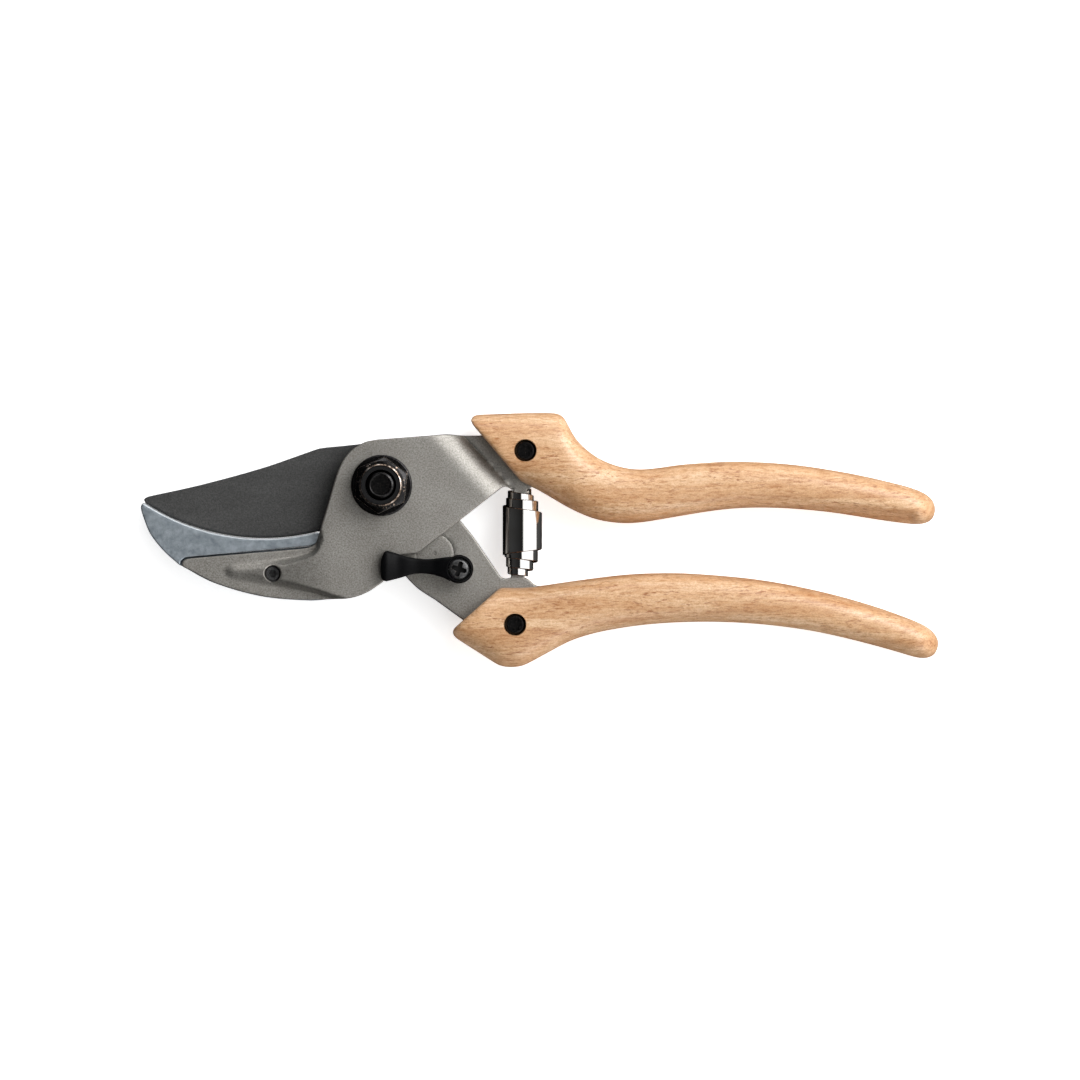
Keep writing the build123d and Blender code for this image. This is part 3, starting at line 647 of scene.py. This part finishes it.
def lever_top(x, y):
    s = along_bend(x, y)
    level = step_down(s, PLATE_FRONT, TANG, BEND_FOOT, BEND_RADIUS)
    level = level - FOLD_DEPTH * np.exp(-(((s - BEND_FOOT) / FOLD_WIDTH) ** 2))
    climb = RIB_START + (PLATE_FRONT - RIB_START) * blend_step(x, -43.0, -13.0)
    level = np.where(x < 0, np.minimum(level, climb), level)
    depth = depth_in(np.column_stack([x, y]), RAISED)
    width = 2.2 - 1.1 * blend_step(x, -30.0, -16.0)
    rise = blend_step(depth / width, -0.25, 1.0)
    return JAW_FRONT + (level - JAW_FRONT) * rise


def lever_bottom(x, y):
    s = along_bend(x, y)
    level = step_down(s, PLATE_BACK, -TANG, BACK_BEND_FOOT, BACK_BEND_RADIUS)
    root = blend_step(-x, 7.0, 9.0) * blend_step(-y, 14.4, 15.6)
    return level + (JAW_BACK - level) * root


def anvil_lever_outline():
    jaw_belly = smooth([(-51.9, -21.55), (-44.2, -25.45), (-36.2, -28.0), (-28.2, -29.5), (-20.2, -30.0),
                        (-12.2, -29.8), (-8.2, -29.5), (-4.2, -28.2), (-0.2, -25.6), (0.6, -24.9)])
    notch = smooth([(0.6, -24.9), (2.2, -22.2), (2.6, -20.2), (4.2, -18.5), (6.4, -18.1), (9.2, -17.8)], 6)
    peg = [(38.1, -1.1), (38.1, -5.3), (34.5, -5.3), (34.5, -1.1)]
    return (
        jaw_belly + notch + [(10.4, -17.0), (30.8, -1.0)]
        + smooth([(30.8, -1.0), (31.6, -0.45), (32.4, -0.3), (33.2, -0.55), (34.0, -1.1)], 4)
        + peg[::-1] + [(38.6, -1.0), (42.0, 2.2), (52.0, -3.2)]
        + arc((63.2, -2.2), 3.3, -90, 90, 12) + [(52.0, 7.0), (44.5, 14.6), (25.3, 13.15), (21.8, 13.15)]
        + smooth([(21.8, 13.15), (20.2, 13.2), (17.0, 13.45), (13.8, 13.2)], 4)
        + [(-1.2, 12.05)]
        + smooth([(-1.2, 12.05), (-4.6, 11.3), (-7.9, 9.3), (-10.2, 6.5), (-11.8, 3.0)], 6)
        + [(-14.6, -6.6), (-16.6, -13.0)]
        + smooth([(-16.6, -13.0), (-17.3, -14.9), (-18.6, -16.0), (-20.6, -16.5), (-23.0, -16.75)], 6)
        + [(-50.3, -19.1)]
        + smooth([(-50.3, -19.1), (-51.7, -19.4), (-52.55, -20.2), (-52.5, -21.1), (-51.9, -21.55)], 4)
    )


def make_anvil_lever():
    """Pressed plate with its rib and bend, and holes for the bolt and the anvil screw."""
    creases = []
    c, d = math.cos(BEND_TURN), math.sin(BEND_TURN)
    for offset in (-0.6, -0.3, -0.12, 0.12, 0.3, 0.6):
        for t in np.arange(-18.0, 0.0, 0.45):
            s = BEND_FOOT + offset
            creases.append((s * c - t * d - 4.0 * d, s * d + t * c + 4.0 * c))
    wall = [(x, y) for x in np.arange(-44.0, -10.0, 0.45) for y in np.arange(-30.5, -15.0, 0.42)]
    holes = [arc((0, 0), 4.1, 0, 352, 45), arc(ANVIL_SCREW, 2.15, 0, 345, 24)]
    piece = plate("anvil_lever_plate", anvil_lever_outline(), lever_top, lever_bottom, holes,
                  edge=0.3, grid=0.9, extra=creases + wall)
    return dress(piece, "lever_steel", "anvil_side", "anvil_lever")


# ---------------------------------------------------------------- anvil

def make_anvil():
    """Block that the blade closes on: full thickness above the jaw, and a thinner part behind it."""
    heel = [(-16.35, -12.45), (-16.25, -12.85), (-16.8, -14.2), (-17.35, -15.1), (-17.9, -15.5),
            (-19.0, -15.85)]
    toe = [(-50.6, -18.75), (-51.9, -18.95), (-52.9, -19.8), (-53.1, -21.0)]
    nose = smooth([(-53.1, -21.0), (-57.2, -17.35), (-60.8, -12.9), (-62.7, -8.4), (-63.4, -5.7),
                   (-62.9, -4.6)], 8)
    front = edge_arc(-62.5, -17.7, 0.1) + heel + toe + nose

    def front_top(x, y):
        radius = from_point(x, y, EDGE_CENTRE)
        return ANVIL_FRONT - 0.2 * blend_step(EDGE_RADIUS + 0.55 - radius, 0.0, 0.45)

    block = plate("anvil_front", front, front_top, at_height(ANVIL_BACK), edge=0.3, grid=1.2)
    dress(block, "anvil_alloy", "anvil_side", "anvil")
    belly = smooth([(-14.0, -29.9), (-20.0, -30.2), (-32.0, -29.1), (-44.2, -25.65), (-53.1, -21.0)], 8)
    back = [(-19.0, -15.9), (-17.4, -15.4), (-13.4, -25.0)] + belly + toe[::-1]
    piece = plate("anvil_back", back, at_height(JAW_BACK - 0.05), at_height(ANVIL_BACK),
                  edge=0.3, grid=1.4)
    return dress(piece, "anvil_alloy", "anvil_side")


# ---------------------------------------------------------------- blade


def blade_top(x, y):
    near = np.clip((from_point(x, y, EDGE_CENTRE) - (EDGE_RADIUS - FRONT_BEVEL)) / FRONT_BEVEL, 0, 1)
    on_edge = (x < -16.5) & (y < 0)
    return np.where(on_edge, BLADE_FRONT + (EDGE_HEIGHT - BLADE_FRONT) * near, BLADE_FRONT)


def blade_bottom(x, y):
    near = np.clip((from_point(x, y, EDGE_CENTRE) - (EDGE_RADIUS - BACK_BEVEL)) / BACK_BEVEL, 0, 1)
    fade = 1 - blend_step(x, -21.0, -16.0)
    return BLADE_BACK + (EDGE_HEIGHT - BLADE_BACK) * near * fade


def make_blade():
    """Blade with its bevels, and the tail that the rivet keys to the lever."""
    outline = (
        edge_arc(-62.6, -17.0)
        + smooth([(-17.0, -12.1), (-10.0, -11.7), (-4.4, -12.0), (0.5, -15.2)], 5)
        + arc(RIVET, 6.4, -129, 24, 22) + arc((0, 0), 11.6, 24, 92, 20)
        + [(-5.7, 11.0), (-10.2, 10.5)]
        + smooth([(-10.2, 10.5), (-15.8, 9.95), (-17.6, 9.5), (-20.2, 8.6), (-30.2, 5.1), (-40.2, 2.2),
                  (-50.2, -0.35), (-60.6, -2.6)], 6)
        + smooth([(-60.6, -2.6), (-62.0, -3.0), (-62.75, -3.6), (-62.6, -4.25)], 5)
    )
    bevel = [(EDGE_CENTRE[0] + r * math.cos(a), EDGE_CENTRE[1] + r * math.sin(a))
             for r in (EDGE_RADIUS - FRONT_BEVEL, EDGE_RADIUS - 0.35, EDGE_RADIUS - BACK_BEVEL)
             for a in np.radians(np.arange(238.0, 284.0, 0.6))]
    piece = plate("blade_ground", outline, blade_top, blade_bottom, [arc((0, 0), 5.05, 0, 352, 45)],
                  edge=0.22, grid=1.2, extra=bevel)
    return dress(piece, "blade_coating", "blade_side", "blade")


# ---------------------------------------------------------------- blade lever

def make_blade_lever():
    """Flat lever with a coined seat for the rivet and a peg for the spring."""
    outline = (
        arc((0, 0), 11.0, 42, 216, 40) + [(5.2, -22.8)]
        + smooth([(5.2, -22.8), (6.3, -24.0), (7.4, -25.2), (9.8, -27.4), (14.0, -30.1)], 4)
        + [(21.3, -35.4), (35.0, -43.6), (47.0, -37.6)] + arc((61.4, -30.8), 3.3, -90, 90, 12)
        + [(46.0, -28.6), (42.2, -26.5)]
        + smooth([(42.2, -26.5), (40.4, -26.2), (39.2, -25.3), (38.2, -24.5), (37.4, -24.2)], 4)
        + [(37.4, -19.9), (33.8, -19.9), (33.8, -24.1)]
        + smooth([(33.8, -24.1), (32.4, -24.4), (31.2, -24.0), (30.5, -23.1)], 4)
        + [(23.8, -13.2), (20.6, -9.3)]
    )

    def top(x, y):
        reach = from_point(x, y, RIVET)
        return TANG - 0.12 * (1 - blend_step(reach, 4.95, 5.3)) * blend_step(x, 7.6, 10.0)

    around = arc(RIVET, 4.85, 0, 354, 60) + arc(RIVET, 5.1, 0, 354, 60) + arc(RIVET, 5.35, 0, 354, 60)
    holes = [arc((0, 0), 5.05, 0, 352, 45), arc(RIVET, 2.6, 0, 345, 24), arc(CATCH_PIVOT, 2.05, 0, 345, 24)]
    piece = plate("blade_lever_plate", outline, top, at_height(-TANG), holes,
                  edge=0.35, grid=1.2, extra=around)
    return dress(piece, "lever_steel", "blade_side", "blade_lever")


def make_rivet():
    """Low domed rivet head in its seat, with the closing head on the back."""
    top, base, back = TANG - 0.03, TANG - 0.4, BLADE_BACK
    profile = [(0.0, base), (2.5, base - 0.1), (2.55, back), (4.2, back), (4.2, back - 0.7),
               (3.6, back - 1.2),
               (0.0, back - 1.2)]
    head = [(0.0, top - 0.25), (0.35, top - 0.23), (0.5, top), (4.2, top - 0.01), (4.8, top - 0.03),
            (4.98, top - 0.08), (5.02, base)]
    piece = turned("rivet_turned", head + profile[1:], RIVET, 72)
    return dress(piece, "rivet_steel", "blade_side", "blade_rivet")


# ---------------------------------------------------------------- catch

def make_catch():
    """Moulded catch: raised thumb ridge, narrow waist and a boss around its screw."""
    outline = (
        smooth([(18.9, -18.6), (16.0, -18.85), (13.0, -19.25), (9.8, -19.15), (6.5, -18.55), (3.4, -17.6),
                (1.6, -17.1)], 6)
        + smooth([(1.6, -17.1), (0.8, -17.4), (0.2, -18.6), (-0.15, -20.0), (-0.25, -21.6), (-0.15, -23.4),
                  (0.2, -24.6), (1.2, -25.15)], 5)
        + smooth([(1.2, -25.15), (4.8, -24.25), (8.6, -23.15), (12.8, -23.25), (16.2, -24.2),
                  (17.9, -25.0)], 6)
        + arc(CATCH_PIVOT, 3.75, 232, 472, 40)
    )

    def top(x, y):
        reach = from_point(x, y, CATCH_PIVOT)
        ridge = 1.1 * np.exp(-(((x - 1.2) / 1.8) ** 2))
        hollow = -0.15 * np.exp(-(((x - 5.0) / 1.7) ** 2))
        waist = -0.7 * blend_step(x, 5.0, 10.0) * (1 - blend_step(x, 13.0, 17.0))
        crown = -0.03 * (y + 21.3) ** 2 * (1 - blend_step(x, 11.0, 15.0))
        boss = 0.25 * (1 - blend_step(reach, 3.1, 3.7))
        return CATCH_TOP + ridge + hollow + waist + crown + boss

    def bottom(x, y):
        reach = from_point(x, y, CATCH_PIVOT)
        return CATCH_BACK - CATCH_BOSS_DEPTH * (1 - blend_step(reach, 3.25, 3.6))

    rim = arc(CATCH_PIVOT, 3.1, 0, 354, 48) + arc(CATCH_PIVOT, 3.4, 0, 354, 48)
    piece = plate("catch_moulded", outline, top, bottom, [arc(CATCH_PIVOT, 2.92, 0, 350, 40)],
                  edge=0.6, grid=0.55, extra=rim, spacing=0.45)
    return dress(piece, "catch_plastic", "catch", "catch")


# ---------------------------------------------------------------- spring

# Where the strip crosses the spring's two sides, half a turn apart: x, and how far its edge reaches along Y
# from the spring's middle. The first pair is shared; one list winds on to the top, the other to the bottom.
SPRING_MIDDLE = -11.9
SPRING_THICKNESS = 0.34
WOUND_UP = [(31.63, 6.7), (41.0, 7.8), (32.5, 8.7), (39.8, 9.3), (32.95, 10.6), (39.2, 11.1)]
WOUND_DOWN = [(41.97, 4.8), (32.08, 6.8), (40.9, 8.2), (32.5, 9.4), (39.7, 10.4), (32.9, 11.3), (38.3, 12.0)]


SPRING_STEPS = 44
STRIP_BEVEL = 0.16
# Edges of the widest half turn at its two ends, and how far from the middle the strip inside it keeps.
WIDEST_LOW, WIDEST_HIGH = (-4.6, -6.4), (4.8, 6.7)
INNER_START, INNER_END = 1.2, 3.8

def strip_edges(past, reach):
    """Heights of the strip's two edges, this many half turns past the start of the widest one."""
    if 0 <= past <= 1:
        return [first + (last - first) * past for first, last in (WIDEST_LOW, WIDEST_HIGH)]
    turns = -past if past < 0 else past - 1
    inner = INNER_START + (INNER_END - INNER_START) * min(1.0, turns)
    near = min(1.0, 3.0 * turns)
    if past < 0:
        return reach, WIDEST_HIGH[0] - (inner + WIDEST_HIGH[0]) * near
    return WIDEST_LOW[1] + (inner - WIDEST_LOW[1]) * near, reach

def make_spring():
    """Double volute: a strip whose middle is its widest half turn, and whose ends wind inside that."""
    sides = [side for side, _ in WOUND_DOWN[::-1] + WOUND_UP]
    heights = [-reach for _, reach in WOUND_DOWN[::-1]] + [reach for _, reach in WOUND_UP]
    widest = len(WOUND_DOWN) - 1
    vertices, faces, weights = [], [], []
    halves = len(sides) - 1
    for i in range(halves * SPRING_STEPS + 1):
        number = min(i // SPRING_STEPS, halves - 1)
        turn = i / SPRING_STEPS
        angle = math.pi * (turn - widest)
        centre = (sides[number] + sides[number + 1]) / 2
        radius = abs(sides[number + 1] - sides[number]) / 2
        low, high = strip_edges(turn - widest, float(np.interp(turn, range(len(heights)), heights)))
        inner, shoulder = radius - SPRING_THICKNESS, radius - STRIP_BEVEL
        for r, y in ((radius, low + STRIP_BEVEL), (radius, high - STRIP_BEVEL), (shoulder, high),
                     (inner, high), (inner, low), (shoulder, low)):
            vertices.append((centre + r * math.cos(angle), SPRING_MIDDLE + y, r * math.sin(angle)))
            weights.append(1 - turn / halves)
    last = len(vertices) - 6
    for i in range(0, last, 6):
        for j in range(6):
            k = (j + 1) % 6
            faces.append((i + j, i + k, i + 6 + k, i + 6 + j))
    faces += [tuple(range(6)), tuple(reversed(range(last, last + 6)))]
    piece = finish_mesh("volute_strip", vertices, faces, 30)
    dress(piece, "spring_steel", None, "volute_spring")
    piece.data.materials.append(MATERIALS["strip_edge"])
    for number, face in enumerate(piece.data.polygons):
        face.material_index = int(number % 6 in (1, 2, 4, 5) or number >= last)
    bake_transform(piece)
    return piece


# ---------------------------------------------------------------- handles

def interpolate(points, xs):
    """Heights of a smooth edge at the given x, from points that run from left to right."""
    fine = np.array(smooth(points, 24))
    return np.interp(xs, fine[:, 0], fine[:, 1])


HANDLE_DOME = 7.5
FACET_FOOT, FACET_RISE = 1.5, 6.2
# Cutter for the screw's counterbore: floor, radius, where it flares, and the radius and height of its mouth.
BORE_FLOOR, BORE_RADIUS, BORE_FLARE = 4.42, 2.86, 7.6
MOUTH_RADIUS, MOUTH_TOP = 3.1, 9.2

def handle_mesh(name, top, bottom, front_point, front_normal, tuck, start):
    """Lofted handle: full, slightly squared sections, a rounded far end and a flat front face."""
    end = top[-1][0]
    xs = np.concatenate([np.linspace(start, end - HANDLE_DOME, 150),
                         end - HANDLE_DOME * (1 - np.sin(np.radians(np.linspace(4, 89.5, 26))))])
    high, low = interpolate(top, xs), interpolate(bottom, xs)
    around = 64
    angles = 2 * np.pi * (np.arange(around) + 0.5) / around
    vertices, faces = [], []
    for x, h, l in zip(xs, high, low):
        run = max(0.0, (x - (end - HANDLE_DOME)) / HANDLE_DOME)
        facet = tuck(x)
        half = HANDLE_HALF * math.sqrt(max(1e-4, 1 - run**2.4))
        middle, width = (h + l) / 2, (h - l) / 2
        power = 2.0 / (2.55 - 0.35 * run)
        for a in angles:
            c, s = math.cos(a), math.sin(a)
            y = middle + width * math.copysign(abs(c) ** power, c)
            z = half * math.copysign(abs(s) ** power, s)
            if facet > 0.05:
                z = min(z, FACET_FOOT + FACET_RISE * max(0.0, y - l) / facet)
            vertices.append((x, y, z))
    for i in range(len(xs) - 1):
        for j in range(around):
            k = (j + 1) % around
            faces.append((i * around + j, i * around + k, (i + 1) * around + k, (i + 1) * around + j))
    faces.append(tuple(range(around)))
    faces.append(tuple(reversed(range((len(xs) - 1) * around, len(xs) * around))))
    piece = finish_mesh(name, vertices, faces, 40)
    trim(piece, front_point, front_normal)
    return piece


def counterbores(at):
    """Cutters for the screw's counterbore in front and the barrel nut's behind."""
    bores = []
    for side in (1, -1):
        ring = [(0.0, BORE_FLOOR * side), (BORE_RADIUS, BORE_FLOOR * side), (BORE_RADIUS, BORE_FLARE * side),
                (MOUTH_RADIUS, MOUTH_TOP * side), (0.0, MOUTH_TOP * side)]
        bores.append(turned(f"bore_{side}", ring, at, 48))
    return bores


def make_upper_handle():
    """Handle of the anvil lever: thumb rest, step, and a long bowed grip."""
    top = [(21.0, 18.5), (28.0, 18.75), (36.0, 19.05), (42.0, 19.15), (44.6, 19.1), (46.6, 18.8),
           (47.9, 17.7),
           (48.7, 16.2), (49.8, 14.1), (51.4, 11.7), (54.0, 9.2), (57.4, 6.9), (62.0, 5.1), (66.8, 4.3),
           (72.0, 4.6), (79.0, 5.55), (90.0, 6.3), (98.0, 6.2), (107.0, 5.6), (116.0, 4.4), (126.0, 2.6),
           (135.8, 0.3), (140.0, -0.95), (142.6, -2.1), (144.4, -3.6), (145.3, -5.4), (145.4, -6.3)]
    bottom = [(21.0, 3.2), (30.0, 2.4), (36.6, 0.85), (38.5, 0.0), (40.6, -1.0), (44.0, -2.95), (48.0, -5.3),
              (52.0, -7.3), (56.0, -8.8), (60.0, -9.6), (64.3, -9.9), (69.0, -9.55), (76.0, -8.4),
              (86.0, -6.75), (93.0, -6.0), (100.0, -5.8), (108.0, -6.1), (118.0, -7.05), (130.0, -8.9),
              (136.0, -9.75), (140.5, -10.15), (143.2, -9.75), (144.8, -8.4), (145.4, -6.3)]

    def tuck(x):
        return (0.4 + 2.5 * blend_step(x, 92.0, 132.0)) * blend_step(x, 84.0, 92.0) * (x < 139.5)

    piece = handle_mesh("upper_handle_wood", top, bottom, (36.6, 0.9), (-15.3, -13.0), tuck, 21.5)
    round_corner(piece, (24.8, 17.1), 1.5, 220.3, 91.5)
    round_over(piece, 0.55, 7)
    cut(piece, counterbores(UPPER_SCREW))
    return dress(piece, "ash_wood", "anvil_side", "upper_handle")


def make_lower_handle():
    """Handle of the blade lever: arrow-shaped head and a long bowed grip."""
    top = [(15.0, -26.7), (25.0, -26.7), (32.2, -26.75), (37.0, -26.75), (41.8, -26.3), (50.0, -25.1),
           (60.0, -23.8), (66.0, -23.25), (72.0, -23.0), (78.0, -23.0), (84.0, -23.3), (91.0, -23.85),
           (98.0, -24.6), (105.0, -25.7), (112.0, -27.1), (119.0, -28.75), (126.0, -30.7), (132.0, -32.6),
           (138.0, -34.8), (142.0, -36.5), (144.4, -38.1), (145.8, -39.9), (146.2, -41.6)]
    bottom = [(15.0, -37.3), (20.0, -40.5), (24.6, -43.45), (28.6, -46.0), (30.4, -47.1), (32.0, -47.6),
              (33.8, -47.75), (35.8, -47.6), (38.0, -46.9), (43.0, -44.2), (46.5, -42.3), (50.0, -40.6),
              (55.0, -39.0), (60.0, -37.9), (66.0, -36.95), (72.0, -36.3), (79.0, -35.9), (86.0, -35.8),
              (93.0, -36.0), (100.0, -36.5), (107.0, -37.3), (114.0, -38.4), (122.0, -40.15), (130.0, -42.2),
              (136.0, -43.9), (140.5, -45.2), (143.4, -45.3), (145.4, -44.0), (146.2, -41.6)]

    piece = handle_mesh("lower_handle_wood", top, bottom, (19.2, -37.2), (-10.3, 11.6), lambda x: 0.0, 15.5)
    round_corner(piece, (19.7, -38.5), 1.3, 131.6, 237.3)
    round_over(piece, 0.55, 7)
    cut(piece, counterbores(LOWER_SCREW))
    return dress(piece, "ash_wood", "blade_side", "lower_handle")


# ---------------------------------------------------------------- hardware

def make_nut():
    """Lock nut: chamfered hexagon, and a round collar rolled in over the nylon ring. Their upper edges get the
    brighter steel, partly rubbed wear and partly a painted highlight.
    """
    outline = arc((0, 0), 13.0 / math.sqrt(3), 23.8, 323.8, 6)

    def top(x, y):
        return NUT_TOP - 0.6 * np.maximum(0, from_point(x, y, (0, 0)) - 6.05)

    hexagon = plate("nut_hexagon", outline, top, at_height(NUT_BASE), [arc((0, 0), 5.0, 0, 354, 60)],
                    edge=0.16, grid=0.5, spacing=0.3)
    dress(hexagon, "black_steel", "anvil_side", "pivot_nut")
    # Painted highlight, partly rubbed wear: the hexagon's chamfer and upper edges get the brighter steel.
    give_wear_and_painted_light(hexagon, "rubbed_steel_and_highlight", lambda p: 10 < p.z < top(p.x, p.y) - 0.05)
    collar = [(4.1, 7.0), (5.75, 7.0), (5.75, 12.6), (5.7, 13.0), (5.56, 13.4), (5.36, 13.64), (5.16, 13.7),
              (4.98, 13.55), (4.85, 13.2), (4.6, 12.9), (4.1, 12.7)]
    ring = dress(turned("nut_collar", collar, (0, 0), 96, 50), "black_steel", "anvil_side")
    # Painted highlight, partly rubbed wear: the crest of the collar's rolled rim gets the brighter steel.
    return give_wear_and_painted_light(ring, "rubbed_steel_and_highlight", lambda p: p.z > 13.2 and p.xy.length > 5.25)


def make_bolt():
    """Bolt with a low head and hexagon socket behind, and a rounded thread end in front."""
    profile = [(0.0, -8.5), (7.6, -8.5), (8.15, -8.28), (8.4, -7.7), (8.4, -4.75), (8.2, -4.55), (5.0, -4.55),
               (5.0, 2.0), (4.0, 2.0), (4.0, 12.1), (3.86, 12.5), (3.5, 12.86), (3.1, 13.08), (2.85, 13.16),
               (2.72, 13.1), (2.6, 12.95), (0.0, 12.9)]
    bolt = turned("bolt_turned", profile, (0, 0), 96, 35)
    socket = turned("socket", [(0.0, -9.0), (2.887, -9.0), (2.887, -5.9), (0.0, -5.2)], (0, 0), 6)
    cut(bolt, [socket])
    return dress(bolt, "black_steel", "anvil_side", "pivot_bolt")


def make_catch_screw():
    """Pan-head screw with a rounded cross recess, painted dark inside as shade, and rounded edges in brighter
    steel, partly rubbed wear and partly a painted highlight.
    """
    profile = [(0.0, 8.35), (1.2, 8.32), (2.0, 8.22), (2.4, 8.06), (2.65, 7.8), (2.75, 7.4), (2.75, 6.05),
               (2.0, 6.05), (2.0, -1.5), (0.0, -1.5)]
    screw = turned("catch_screw_turned", profile, CATCH_PIVOT, 72, 50)
    lobes = []
    for angle in (-17, 73, 163, 253):
        tip = math.radians(angle)
        lobes += [(CATCH_PIVOT[0] + r * math.cos(tip + t), CATCH_PIVOT[1] + r * math.sin(tip + t))
                  for r, t in ((0.95, -0.72), (1.45, -0.44), (1.9, -0.3), (2.08, 0.0), (1.9, 0.3),
                               (1.45, 0.44), (0.95, 0.72))]
    recess = plate("recess", lobes, at_height(9.0), at_height(6.8), edge=0.01,
                   grid=0.5, spacing=0.3)
    cut(screw, [recess])
    dress(soften(screw, 0.12, 2, 45), "black_steel", "blade_side", "catch_screw")
    screw.data.materials[0] = MATERIALS["screw_steel"]
    # Painted shade: the cross recess's faces take the black of the nylon material.
    give_wear_and_painted_light(screw, "insert_nylon", lambda p: p.z < 8.0 and math.dist(p.xy, CATCH_PIVOT) < 2.1)
    # Painted highlight, partly rubbed wear: the rounded edges that the bevel makes get the brighter steel.
    screw.data.materials.append(MATERIALS["rubbed_steel_and_highlight"])
    screw.modifiers["soften"].material = 2
    return screw


def finish_hardware():
    """CAD hardware keeps its shape and gets its material."""
    slots = {entry["node"]: entry["material_slot"] for entry in frame["record"]["subparts"]}
    replaced = {"anvil_lever", "anvil", "blade", "blade_lever", "blade_rivet", "catch", "volute_spring",
                "upper_handle", "lower_handle", "pivot_nut", "pivot_bolt", "catch_screw"}
    for name, node in frame["nodes"].items():
        if name in replaced:
            continue
        for slot in node.material_slots:
            slot.material = MATERIALS["screw_steel" if name == "anvil_screw" else slots[name]]


# ---------------------------------------------------------------- stage

def area_light(name, place, size, power):
    """Rectangular light that faces the middle of the frame."""
    data = bpy.data.lights.new(name, "AREA")
    data.shape = "RECTANGLE"
    data.size, data.size_y = size
    data.energy = power
    light = bpy.data.objects.new(name, data)
    bpy.context.scene.collection.objects.link(light)
    light.location = place
    light.rotation_euler = (-Vector(place)).to_track_quat("-Z", "Y").to_euler()

def make_stage():
    """Pale floor that polished parts don't mirror, and soft light from the upper right and both sides."""
    mesh = bpy.data.meshes.new("floor")
    half = 2.5
    corners = [(-half, -half, 0), (half, -half, 0), (half, half, 0), (-half, half, 0)]
    mesh.from_pydata(corners, [], [(0, 1, 2, 3)])
    floor = bpy.data.objects.new("floor", mesh)
    bpy.context.scene.collection.objects.link(floor)
    floor.location.z = -0.0003
    floor.visible_glossy = False
    tones = ((0.3, (246, 246, 246)), (0.7, (250, 250, 250)))
    mesh.materials.append(grained("floor_white", 0.002, 3.0, 0.55, tones, roughness=0.8,
                                  emission_color=(1, 1, 1, 1), emission_strength=0.65))

    area_light("key", (0.25, 0.19, 0.31), (0.3, 0.26), 1.42)
    area_light("side", (-0.15, 0.62, 0.34), (0.5, 0.16), 1.1)
    area_light("low", (0.30, -0.55, 0.30), (0.5, 0.14), 0.7)
    make_world()


def make_world():
    """Studio around the shears: bright on the right, and dark overhead, on the left and below."""
    world = bpy.data.worlds.new("studio")
    bpy.context.scene.world = world
    world.use_nodes = True
    nodes = Nodes(world.node_tree)
    place = nodes.node("ShaderNodeTexCoord").outputs["Generated"]
    parts = nodes.node("ShaderNodeSeparateXYZ", vector=place)
    bands = []
    for axis, stops in (("X", ((0.0, 0.03), (0.52, 0.008), (0.58, 1.0), (1.0, 1.0))),
                        ("Y", ((0.0, 0.85), (0.5, 1.0), (1.0, 1.0))),
                        ("Z", ((0.0, 0.06), (0.47, 0.06), (0.505, 1.0), (1.0, 1.0)))):
        shift = nodes.node("ShaderNodeMapRange", value=parts.outputs[axis], from_min=-1.0)
        bands.append(nodes.ramp(shift.outputs["Result"], *stops))
    glow = nodes.mix(1.0, nodes.mix(1.0, bands[0], bands[1], "MULTIPLY"), bands[2], "MULTIPLY")
    background = world.node_tree.nodes["Background"]
    nodes.put(background.inputs["Color"], glow)
    background.inputs["Strength"].default_value = 1.25

def make_camera():
    """Long lens straight above the middle of the shears, with a frame 284 mm wide at mid-height."""
    low, high = CAD_BOX
    camera = bpy.data.cameras.new("camera")
    seen, distance = 0.2839, 1.3
    camera.sensor_width = 36.0
    camera.lens = camera.sensor_width * distance / seen
    camera.clip_start, camera.clip_end = 0.05, 10.0
    holder = bpy.data.objects.new("camera", camera)
    bpy.context.scene.collection.objects.link(holder)
    holder.location = ((low[0] + high[0]) / 2, (low[1] + high[1]) / 2, PIVOT.z + distance)
    bpy.context.scene.camera = holder


make_anvil_lever()
make_anvil()
make_blade()
make_blade_lever()
make_rivet()
make_catch()
make_spring()
make_upper_handle()
make_lower_handle()
make_nut()
make_bolt()
make_catch_screw()
finish_hardware()
make_stage()
make_camera()
bpy.context.scene.view_settings.view_transform = "Standard"
